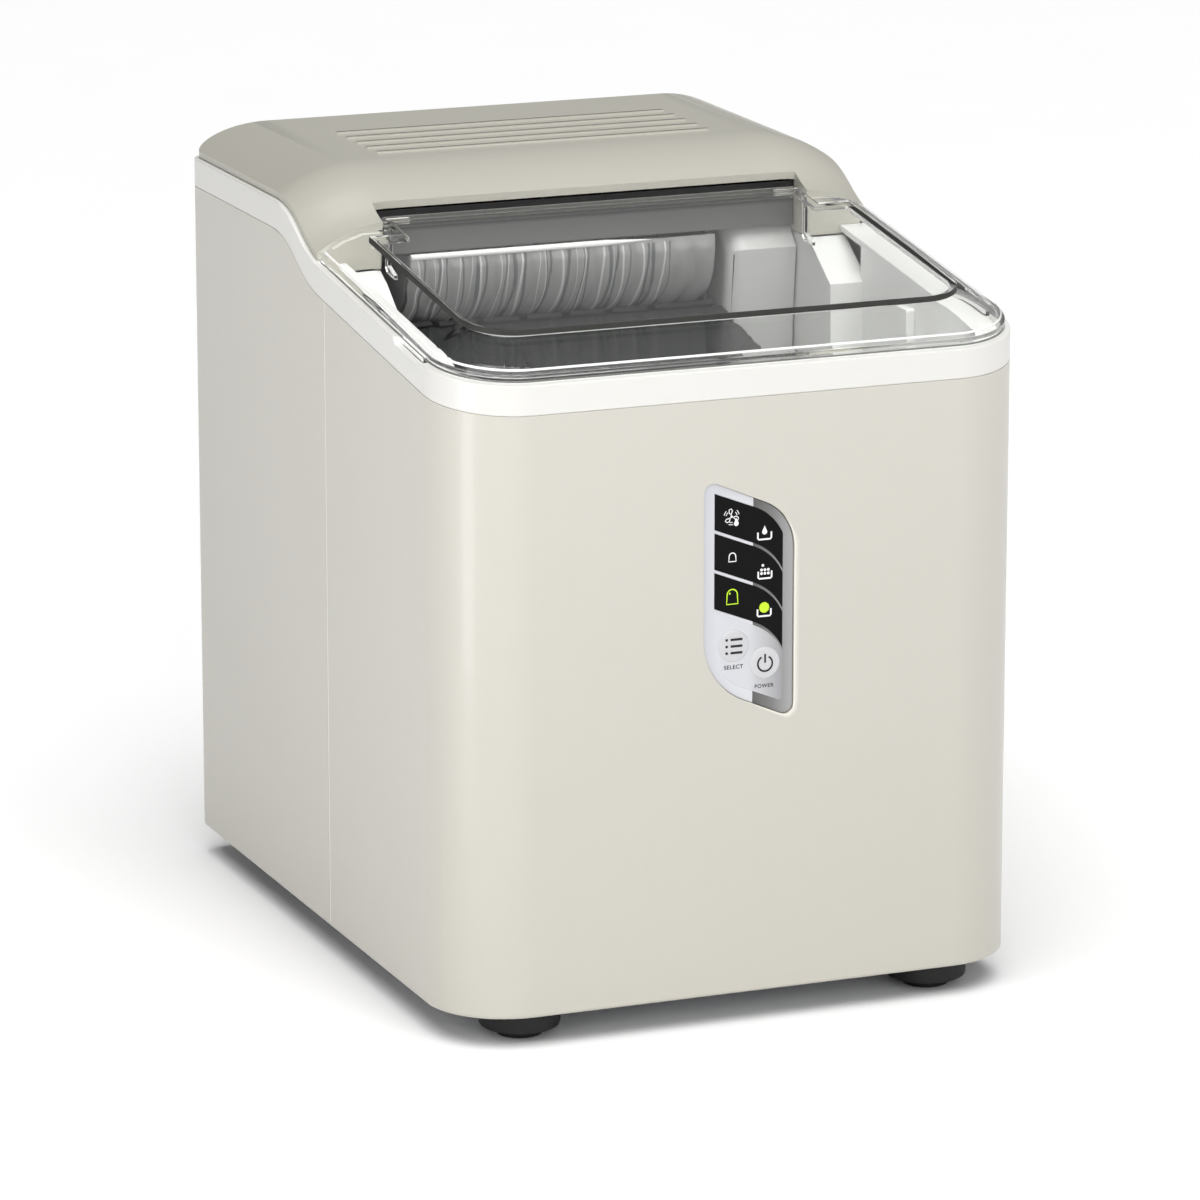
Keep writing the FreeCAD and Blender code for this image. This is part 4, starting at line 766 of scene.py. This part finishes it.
@dataclass
class ControlPanel:
    """The slanting panel: a split-tone surround, a button pad, two domed buttons and printed signs."""
    pad_lift: float = 0.1
    button_radius: float = 5.75
    button_rise: float = 0.45
    select: Flat = (-5.6, 138.6)
    power: Flat = (6.3, 131.4)
    line: float = 0.62
    print_lift: float = 0.03

    def at(self, x: float, dz: float) -> Flat:
        """A point given from the panel's middle."""
        return (x, PANEL_MIDDLE + dz)

    def arch(self, centre: Flat, width: float, height: float) -> List[Flat]:
        """Outline of one bullet-shaped piece of ice.

        Args:
            centre: (x, z) of its middle.
            width: its width.
            height: its height.

        Returns:
            The outline.
        """
        r = width / 2
        x, z = centre
        foot = z - height / 2
        top = z + height / 2 - r
        return [(x + r * 1.1, foot)] + arc_points((x, top), r, 0, 180, 14) + [(x - r * 1.1, foot)]

    def tray(self, centre: Flat, front: float) -> Form:
        """Sign of an open tray.

        Args:
            centre: (x, z) of its middle.
            front: y of its face.

        Returns:
            Its corners and faces.
        """
        x, z = centre
        pts = [(x - 2.55, z + 0.9), (x - 2.55, z - 1.3), (x - 2.2, z - 1.7), (x + 2.2, z - 1.7),
               (x + 2.55, z - 1.3), (x + 2.55, z + 0.9)]
        return stroke(pts, self.line, front)

    def drop(self, centre: Flat, height: float, front: float) -> Form:
        """Sign of a drop of water.

        Args:
            centre: (x, z) of its middle.
            height: from its foot to its tip.
            front: y of its face.

        Returns:
            Its corners and faces.
        """
        x, z = centre
        r = height * 0.3
        ring = arc_points((x, z - height / 2 + r), r, 155, 385, 18) + [(x, z + height / 2)]
        return plate(ring, front, PRINT_DEPTH, PRINT_EASE)

    def fan(self, centre: Flat, front: float) -> List[Form]:
        """Sign of a three-bladed fan with marks of its draught between the blades.

        Args:
            centre: (x, z) of its hub.
            front: y of its face.

        Returns:
            Hub, blades and marks.
        """
        x, z = centre
        parts = [disc(centre, 0.45, front)]
        for turn in (90, 210, 330):
            c, s = math.cos(math.radians(turn)), math.sin(math.radians(turn))
            loop = [(0.5, 0.0), (1.5, 1.0), (2.5, 0.9), (2.8, 0.1), (2.1, -0.3), (1.2, 0.0)]
            pts = [(x + px * c - pz * s, z + px * s + pz * c) for px, pz in loop]
            parts.append(stroke(pts, 0.34, front, closed=True))
        for turn in (150, 30, 265):
            parts += [stroke(arc_points(centre, radius, turn - 17, turn + 17, 5), 0.26, front)
                      for radius in (2.1, 2.9)]
        return parts

    def signs(self, front: float) -> Dict[Ink, List[Form]]:
        """All the signs on the display rows.

        Args:
            front: y of their faces.

        Returns:
            The signs, by the colour of their print.
        """
        above = front - 0.02
        white = self.fan(self.at(-6.5, 30.2), front)
        white.append(self.drop(self.at(-4.7, 28.2), 3.0, above))
        white.append(self.tray(self.at(6.1, 22.7), front))
        white.append(self.drop(self.at(6.1, 24.3), 3.2, front))
        white.append(stroke(self.arch(self.at(-6.1, 15.6), 2.5, 3.1), 0.4, front, closed=True))
        white.append(self.tray(self.at(6.3, 8.6), front))
        pitch = 1.3
        for row in range(2):
            white += [disc(self.at(6.3 + pitch * (k - 1), 8.7 + pitch * row), 0.52, front) for k in range(3)]
        white.append(disc(self.at(5.5, 11.6), 0.5, front))
        white.append(self.tray(self.at(6.1, -5.0), front))
        green = [stroke(self.arch(self.at(-6.1, 1.4), 3.9, 5.3), 0.42, front, closed=True)]
        green.append(stroke([self.at(-7.2, 2.3), self.at(-6.9, 2.9)], 0.5, front))
        green.append(plate(arc_points(self.at(6.1, -3.6), 1.95, 0, 324, 9), above, PRINT_DEPTH, PRINT_EASE))
        return {Ink.WHITE: white, Ink.GREEN: green}

    def pad_outline(self) -> List[Flat]:
        """Edge of the raised pad that the buttons stand in.

        Returns:
            (x, z) corners, anticlockwise as seen from the front.
        """
        top = curve_through([(13.1, -20.0), (11.3, -16.6), (8.6, -13.6), (5.2, -11.1), (1.4, -9.2),
                             (-5.4, -6.4), (-12.9, -3.4)], 6)
        left = curve_through([(-12.9, -14.0), (-12.2, -20.5), (-9.8, -26.0), (-6.0, -29.9), (-1.5, -32.3)], 6)
        right = [(1.7, -33.5), (11.6, -37.6), (12.6, -37.6), (13.1, -36.8)]
        return [self.at(x, z) for x, z in top + left + right]

    def dome(self, name: str, centre: Flat, front: float, body: str) -> bpy.types.Object:
        """A softly domed button cap.

        Args:
            name: the cap's name.
            centre: (x, z) of its middle.
            front: y of its edge.
            body: the body that it moves with.

        Returns:
            The cap.
        """
        r, crown = self.button_radius, front - self.button_rise
        profile = [(r, front + 3.6), (r, front + 0.05), (r - 0.12, front - 0.14), (r - 0.5, front - 0.3),
                   (r - 1.2, front - 0.38), (r * 0.5, front - 0.43), (r * 0.2, crown), (0.05, crown)]
        return add_piece(name, *lathe(profile, (centre[0], 0.0, centre[1]), Axis.Y, 64), BUTTON, body)

    def label(self, text: str, centre: Flat, width: float, front: float) -> None:
        """One printed word.

        Args:
            text: the word.
            centre: (x, z) of its middle.
            width: how wide it is.
            front: y of its face.
        """
        name = "word_" + text.lower()
        curve = bpy.data.curves.new(name, "FONT")
        curve.body = text
        curve.align_x, curve.align_y = "CENTER", "CENTER"
        curve.size = 1.0
        curve.extrude = 0.02
        curve.space_character = 1.12
        curve.offset = 0.012
        obj = placed(name, curve)
        bpy.context.view_layer.update()
        scale = width * MM / max(obj.dimensions.x, 1e-6)
        mesh = bpy.data.meshes.new_from_object(obj)
        bpy.data.objects.remove(obj)
        upright = Matrix.Rotation(math.radians(90), 4, "X") @ Matrix.Diagonal((scale, scale, MM, 1.0))
        mesh.transform(Matrix.Translation((centre[0] * MM, front * MM, centre[1] * MM)) @ upright)
        word = placed(name, mesh)
        mesh.materials.clear()
        mesh.materials.append(INK.material())
        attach(word, "case")

    def button_signs(self, front: float) -> None:
        """Prints a list on the one button and a switch sign on the other.

        Args:
            front: y of their faces.
        """
        x, z = self.select
        rows = (2.4, 0.0, -2.4)
        lines = [stroke([(x - 1.3, z + dz), (x + 3.2, z + dz)], 0.85, front) for dz in rows]
        lines += [disc((x - 2.8, z + dz), 0.5, front) for dz in rows]
        add_piece("select_sign", *joined(lines), INK, "select")
        x, z = self.power
        ring = [stroke(arc_points((x, z - 0.2), 2.75, 120, 420, 36), 0.66, front),
                stroke([(x, z + 0.1), (x, z + 3.3)], 0.66, front)]
        add_piece("power_sign", *joined(ring), INK, "power")

    def build(self) -> None:
        """Surround, pad, buttons, signs and words."""
        face = box_mm("control_bezel")[0].y
        row_face = box_mm("display_window")[0].y
        surround = Moulding("control_bezel", PANEL_SPLIT, 0.25).build()
        rest = face - self.pad_lift
        pad = add_piece("button_pad", *plate(self.pad_outline(), rest, self.pad_lift + 0.02, 0.3),
                        PAD_FADE, "case")
        for body, centre in (("select", self.select), ("power", self.power)):
            cap = self.dome(body + "_cap", centre, rest, body)
            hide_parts(body + "_button")
        for ink, parts in self.signs(row_face - self.print_lift).items():
            add_piece("signs_" + ink.name.lower(), *joined(parts), ink.value, "case")
        self.button_signs(rest - self.button_rise - PRINT_DEPTH)
        self.label("SELECT", (self.select[0], 130.9), 7.3, rest - self.print_lift)
        self.label("POWER", (6.1, 123.0), 7.2, rest - self.print_lift)
        log.info("built the control panel")


# ------------------------------------------------------------------ lid, case trim, cover, feet and tray
@dataclass(frozen=True)
class LidLine:
    """A fine line that runs round the lid, first round its raised centre, painted in place of the light and
    shade where the edge bends the light.

    The sizes are measured in the lid's own sloping plane, and low and high are heights above it.
    """
    half: float = 94.1
    front: float = 21.4
    corner: float = 18.1
    rear: float = 129.0
    low: float = 10.75
    high: float = 12.75
    thick: float = 0.35
    count: int = 9

    def loop(self, out: float, height: float) -> List[Point]:
        """The line's path.

        Args:
            out: how far it is moved out sideways.
            height: its height above the lid's plane.

        Returns:
            The path, from the left rear round the front to the right rear.
        """
        x, v, r = self.half + out, self.front - out, self.corner + out
        run = self.rear - v - r
        flat: List[Flat] = [(-x, self.rear - run * k / self.count) for k in range(self.count)]
        flat += [(-x + r - r * math.cos(math.radians(a)), v + r - r * math.sin(math.radians(a)))
                 for a in range(0, 91, CORNER_STEP)]
        flat += [(-px, pv) for px, pv in reversed(flat)]
        tilt = math.atan(RIM_SLOPE)
        return [(px, CASE_FRONT + pv * math.cos(tilt) - height * math.sin(tilt),
                 LID_FOOT + pv * math.sin(tilt) + height * math.cos(tilt)) for px, pv in flat]

    def bead(self, name: str, finish: Look, part: slice = slice(None)) -> bpy.types.Object:
        """Wraps a strip along the path.

        Args:
            name: the strip's name.
            finish: its finish.
            part: the stretch of the path that it covers.

        Returns:
            The strip.
        """
        t = self.thick
        shoulder = self.high - min(0.5, (self.high - self.low) / 2)
        rows = [self.loop(0.0, self.low), self.loop(t, self.low), self.loop(t, shoulder),
                self.loop(t * 0.5, self.high), self.loop(0.0, self.high)]
        rows = [row[part] for row in rows]
        verts = [p for row in rows for p in row]
        count = len(rows[0])
        faces: List[Face] = list(grid_faces(len(rows), count, False))
        faces += [(r * count, (r + 1) * count, 0) for r in range(1, len(rows) - 1)]
        faces += [(count - 1, (r + 2) * count - 1, (r + 1) * count - 1) for r in range(1, len(rows) - 1)]
        return add_piece(name, verts, faces, finish, "lid")

    def build(self) -> None:
        """The painted dark line along the left and the front, and a paler painted one along the right:
        painted shade where the edge bends the light.
        """
        bend = len(range(0, 91, CORNER_STEP))
        # The tone changes near the end of the right-hand corner.
        split = self.count + 2 * bend - 4
        self.bead("lid_painted_edge_shade", PAINTED_EDGE_SHADE, slice(0, split))
        self.bead("lid_painted_edge_light_right", PAINTED_EDGE_LIGHT, slice(split - 1, None))
        log.info("built the lid's edge line")


@dataclass
class LidShoulder:
    """The painted highlight along the bend where the lid's upright skirt turns into its sloping shoulder."""
    line: LidLine = LidLine(half=106.8, front=3.8, corner=26.6, rear=139.5, low=4.0, high=4.8, count=1)

    def build(self) -> None:
        """A pale bead of painted highlight inside the clear wall."""
        self.line.bead("lid_shoulder_highlight", HIGHLIGHT_PAINT)
        log.info("built the lid's shoulder line")


@dataclass
class LidBrackets:
    """Clear upright webs where the lid meets the two ears of the cover, with painted highlights along their
    edges.
    """
    x: float = 82.3
    wall: float = 1.1
    web: Tuple[Flat, ...] = ((0.2, 266.6), (0.2, 252.4), (-1.6, 250.6), (-9.6, 249.6), (-9.6, 251.0),
                             (-2.6, 253.4), (-2.6, 262.6))
    edge: float = 0.35

    def slab(self, x0: float, x1: float, outline: Sequence[Flat]) -> Form:
        """A flat outline carried sideways.

        Args:
            x0: where it starts.
            x1: where it ends.
            outline: its (y, z) corners.

        Returns:
            Its corners and faces.
        """
        verts = [(x, y, z) for x in (x0, x1) for y, z in outline]
        return verts, prism_faces(len(outline))

    def build(self) -> None:
        """A web and the painted highlights on its edges, on each side."""
        webs, edges = [], []
        for side in (-1, 1):
            webs.append(self.slab(side * self.x, side * (self.x - self.wall), self.web))
            for (y0, z0), (y1, z1) in zip(self.web[2:], self.web[3:]):
                run = math.hypot(y1 - y0, z1 - z0)
                ny, nz = (z1 - z0) / run * self.edge, -(y1 - y0) / run * self.edge
                strip = [(y0, z0), (y1, z1), (y1 + ny, z1 + nz), (y0 + ny, z0 + nz)]
                edges.append(self.slab(side * (self.x + 0.1), side * (self.x - self.wall - 0.1), strip))
        add_piece("lid_webs", *joined(webs), LID_CLEAR, "lid")
        add_piece("lid_web_highlights", *joined(edges), HIGHLIGHT_PAINT, "lid")
        log.info("built the lid's webs")


@dataclass
class LidSeat:
    """The thin shadow line that runs under the lid's skirt."""
    line: LidLine = LidLine(half=108.4, front=1.8, corner=28.0, rear=140.0, low=0.62, high=1.15, thick=0.12,
                            count=1)

    def build(self) -> None:
        """A fine dark bead of painted shadow along the skirt's lower edge."""
        self.line.bead("lid_skirt_shadow_line", LID_SEAT_SHADOW)
        log.info("built the lid's seat line")


@dataclass
class SeamLight:
    """The fine bead along the front panel's rear edge, on both sides of the case, pale with a painted
    highlight.
    """
    width: float = 1.1
    proud: float = 0.01

    def build(self) -> None:
        """One bead on each side, from the lower edge to the trim band."""
        low, high = box_mm("front_panel")
        y = high.y
        top = BAND_FOOT + RIM_SLOPE * (y - CASE_FRONT) - 0.3
        beads = []
        for x in (low.x - self.proud, high.x + self.proud):
            side = 1.0 if x > 0 else -1.0
            deep, shallow = x - side * 0.3, x - side * 0.04
            ring = [(deep, y - self.width), (shallow, y - self.width), (x, y - self.width * 0.7),
                    (x, y - self.width * 0.3), (shallow, y), (deep, y)]
            verts = [(px, py, z) for z in (low.z + 2.0, top) for px, py in ring]
            beads.append((verts, prism_faces(len(ring))))
        add_piece("seam_highlight_beads", *joined(beads), SEAM_HIGHLIGHT, "case")
        log.info("built the seam's beads")


@dataclass
class PanelRim:
    """The edge that dishes into the control panel's recess, its soft light painted on as pale strips: painted
    highlight.
    """
    half_x: float = 17.2
    half_z: float = 43.2
    steps: Tuple[float, ...] = (0.0, 0.55, 1.15, 1.9)

    def outline(self, grow: float) -> List[Flat]:
        """The lower and right part of the recess's edge.

        Args:
            grow: how far it is moved outwards, between its tapered ends.

        Returns:
            (x, z) points along it.
        """
        x, z = self.half_x, self.half_z
        points = curve_through([(-2.0, -z * 0.84), (x - 4.8, -(z - 0.7)), (x - 1.3, -(z - 1.2)),
                                (x, -(z - 5.0)), (x, -20.0), (x, 0.0), (x, 11.0), (x, 18.6),
                                (x - 1.1, 24.0), (x - 3.85, 29.0)], 8)
        moved = []
        for index, (px, pz) in enumerate(points):
            before, after = points[max(index - 1, 0)], points[min(index + 1, len(points) - 1)]
            dx, dz = after[0] - before[0], after[1] - before[1]
            run = math.hypot(dx, dz) or 1.0
            taper = min(1.0, 5.0 * index / len(points), 5.0 * (len(points) - 1 - index) / len(points))
            moved.append((px + dz / run * grow * taper, PANEL_MIDDLE + pz - dx / run * grow * taper))
        return moved

    def build(self) -> None:
        """Three strips of painted highlight, each nearer the case's own tone."""
        front = box_mm("front_panel")[0].y
        for index, finish in enumerate(RECESS_HIGHLIGHTS):
            loops = [self.outline(self.steps[index]), self.outline(self.steps[index + 1])]
            lift = [0.014 - 0.003 * (index + k) for k in (0, 1)]
            verts = [(x, front - lift[k], z) for k, loop in enumerate(loops) for x, z in loop]
            add_piece("recess_rim_%d" % index, verts, grid_faces(2, len(loops[0]), False), finish, "case")
        log.info("built the recess rim")


@dataclass
class CoverRibs:
    """Pale caps on the cover's raised ribs: a painted highlight along their tops."""
    rows: Tuple[float, ...] = (98.0, 87.0, 76.0, 65.0, 54.0)
    half: float = 66.6
    width: float = 1.95

    def build(self) -> None:
        """One rounded cap for each rib."""
        top = box_mm("top_cover")[1].z
        parts = []
        for y in self.rows:
            verts: List[Point] = []
            r = self.width / 2
            levels = [(0.0, top - 0.78), (0.05, top - 0.25), (0.3, top - 0.02), (0.55, top)]
            for shrink, z in levels:
                ring = arc_points((self.half - r, y), r - shrink, -90, 90, 12)
                ring += [(-x, 2 * y - across) for x, across in ring]
                verts.extend((x, across, z) for x, across in ring)
            count = len(ring)
            faces: List[Face] = list(grid_faces(len(levels), count, True))
            faces.append(tuple(range(len(verts) - count, len(verts))))
            parts.append((verts, faces))
        add_piece("rib_highlight_caps", *joined(parts), RIB_HIGHLIGHT, "case")
        log.info("built the rib caps")


@dataclass
class Feet:
    """Four stepped rubber feet."""
    x: float = 79.0
    rows: Flat = (-121.0, 110.0)

    def build(self) -> None:
        """Turns each foot with rounded tiers."""
        profile = [(7.6, 0.0), (8.2, 0.2), (8.5, 0.8), (8.55, 2.9), (9.0, 3.3), (13.6, 3.35), (14.2, 3.7),
                   (14.5, 4.5), (15.0, 11.0), (14.6, 11.9), (2.1, 12.0), (2.1, 17.0)]
        parts = [lathe(profile, (side * self.x, y, 0.0), Axis.Z, 64) for side in (-1, 1) for y in self.rows]
        feet = add_piece("rubber_feet", *joined(parts), RUBBER, "case")
        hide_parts("feet")
        log.info("built the feet")


@dataclass
class FlutedTray:
    """The smoky water tray: a half drum with an upright-fluted front, a rim, end walls and shaft ends."""
    axis: Flat = (35.0, 250.0)
    inner: float = 24.0
    outer: float = 26.2
    ends: Flat = (-70.0, 50.0)
    shaft: float = 3.0
    shaft_ends: Flat = (-85.5, 65.5)
    hub: float = 6.0
    end_wall: float = 2.0
    flutes: int = 15
    depth: float = 1.3
    streak_count: int = 20
    streak_pitch: float = 5.1

    def radius(self, x: float, turn: float) -> float:
        """Outer radius: fluted in front, plain underneath and behind.

        Args:
            x: the place along the drum.
            turn: the angle round it, in degrees from the back.

        Returns:
            The radius there.
        """
        fade = max(0.0, min(1.0, (266.0 - turn) / 12.0)) * max(0.0, min(1.0, (turn - 177.0) / 4.0))
        across = (x - self.ends[0]) / (self.ends[1] - self.ends[0])
        wander = 0.035 * math.sin(turn / 9.0) + 0.05 * math.sin(17.0 * across)
        return self.outer + self.depth * fade * abs(math.sin(math.pi * self.flutes * (across + wander / 6)))

    def spot(self, x: float, radius: float, turn: float) -> Point:
        """A point on the drum."""
        a = math.radians(turn)
        return (x, self.axis[0] + radius * math.cos(a), self.axis[1] + radius * math.sin(a))

    def rim_bar(self) -> None:
        """The rounded bar along the tray's front edge, which thins out to the right, pale with a painted
        highlight.
        """
        middle = (self.axis[0] - self.outer + 0.3, self.axis[1] + 3.0)
        start, end = self.ends[0], self.ends[1] - 24.0
        bar = lathe([(0.05, start), (1.1, start + 0.1), (1.1, end - 20.0), (0.05, end)],
                    (0.0, *middle), Axis.X, 24)
        add_piece("tray_rim_highlight", *bar, HIGHLIGHT_PAINT, "water_tray")

    def streak(self, x: float, half: float, turns: Sequence[float]) -> Form:
        """A narrow rib that follows the drum's flutes from its rim downwards.

        Args:
            x: its middle.
            half: half of its width.
            turns: the angles that it runs through.

        Returns:
            Its corners and faces.
        """
        section = ((-1.0, -0.05), (-0.6, 0.07), (0.0, 0.1), (0.6, 0.07), (1.0, -0.05))
        verts: List[Point] = []
        for turn in turns:
            middle = x + 0.35 * math.sin(turn / 11.0 + x)
            for side, lift in section:
                across = middle + side * half
                verts.append(self.spot(across, self.radius(across, turn) + lift, turn))
        return verts, grid_faces(len(turns), len(section), False)

    def streaks(self) -> None:
        """Light and dark ribs down the drum's front: painted highlights and painted shade on the flutes."""
        turns = [176 + 3 * k for k in range(29)]
        light, dark = [], []
        for index in range(self.streak_count):
            x = self.ends[0] + 3.0 + self.streak_pitch * index + 1.5 * math.sin(2.3 * index)
            light.append(self.streak(x, 0.34 + 0.2 * math.sin(4.1 * index), turns))
            beside = x + 2.1 + 0.7 * math.sin(3.7 * index)
            dark.append(self.streak(beside, 0.6 + 0.3 * math.sin(1.9 * index), turns))
        add_piece("tray_highlight_streaks", *joined(light), TRAY_HIGHLIGHT, "water_tray")
        add_piece("tray_painted_shade_streaks", *joined(dark), TRAY_PAINTED_SHADE, "water_tray")

    def drum(self, turns: Sequence[float]) -> Form:
        """The half drum's wall.

        Args:
            turns: the angles that it runs through.

        Returns:
            Its corners and faces.
        """
        steps = self.flutes * 12
        xs = [self.ends[0] + (self.ends[1] - self.ends[0]) * k / steps for k in range(steps + 1)]
        rows = [[self.spot(x, self.radius(x, t), t) for x in xs] for t in turns]
        rows += [[self.spot(x, self.inner, t) for x in xs] for t in reversed(turns)]
        verts = [p for row in rows for p in row]
        count = len(xs)
        faces: List[Face] = list(grid_faces(len(rows), count, False))
        last = (len(rows) - 1) * count
        faces += [(c, c + 1, last + c + 1, last + c) for c in range(count - 1)]
        return verts, faces

    def build(self) -> None:
        """Drum, end walls, hubs and shaft ends as one piece, with the rim bar and the streaks of painted
        highlight and shade on it.
        """
        self.rim_bar()
        self.streaks()
        turns = [173 + 3 * k for k in range(63)]
        parts = [self.drum(turns)]
        left, right = self.ends
        centre = (0.0, *self.axis)
        for x0, x1 in ((left, left + self.end_wall), (right - self.end_wall, right)):
            wall = [self.spot(x, self.inner + 0.1, t) for x in (x0, x1) for t in turns]
            parts.append((wall, prism_faces(len(turns))))
            parts.append(lathe([(self.hub, x0), (self.hub, x1)], centre, Axis.X, 40))
        for x0, x1 in ((self.shaft_ends[0], left), (right, self.shaft_ends[1])):
            parts.append(lathe([(self.shaft, x0), (self.shaft, x1)], centre, Axis.X, 32))
        tray = add_piece("fluted_tray", *joined(parts), SMOKE, "water_tray", 50.0)
        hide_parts("water_tray")
        log.info("built the water tray")


MOULDINGS = (
    Moulding("front_panel", CREAM_SHADED_LOW, 0.35), Moulding("rear_housing", CREAM_SHADED_LOW, 0.3),
    Moulding("trim_band", WHITE, 0.5), Moulding("top_cover", COVER, 0.35),
    Moulding("lid", LID_CLEAR, 0.4, "lid"), Moulding("ice_basket", TUB, 0.4, "basket"),
    Moulding("inner_tub", TUB, 0.4), Moulding("motor_cover", COWL, 3.2),
    Moulding("ice_shovel", CHUTE_SHADE, 0.3, "ice_shovel"), Moulding("ice_chute", CHUTE_SHADE, 0.3),
    Moulding("rear_grille", CREAM_SHADED_LOW, 0.3), Moulding("side_grille", CREAM_SHADED_LOW, 0.3),
    Moulding("cord_gland", BLACK, 0.4), Moulding("drain_plug", GREY, 0.4, "plug"),
    Moulding("drain_outlet", GREY, 0.3), Moulding("ice_full_sensors", TUB, 0.3),
    Moulding("water_float", WHITE, 0.6, "float"), Moulding("evaporator", NICKEL, 0.4),
)


# ------------------------------------------------------------------ carried parts
def dress_carried() -> None:
    """Gives every node of the frame its finish."""
    for name, finish in CARRIED.items():
        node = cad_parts[name]
        material = finish.material()
        if not node.material_slots:
            node.data.materials.append(material)
        for slot in node.material_slots:
            slot.material = material
        log.info("dressed %s", name)


def main() -> None:
    """Builds everything in order."""
    logging.basicConfig(level=logging.INFO, format="%(message)s")
    Studio().build()
    dress_carried()
    for moulding in MOULDINGS:
        piece = moulding.build()
        piece.visible_shadow = moulding.finish is not LID_CLEAR
    ControlPanel().build()
    LidLine().build()
    LidShoulder().build()
    LidSeat().build()
    LidBrackets().build()
    SeamLight().build()
    PanelRim().build()
    CoverRibs().build()
    Feet().build()
    FlutedTray().build()


if __name__ == "__main__":
    main()
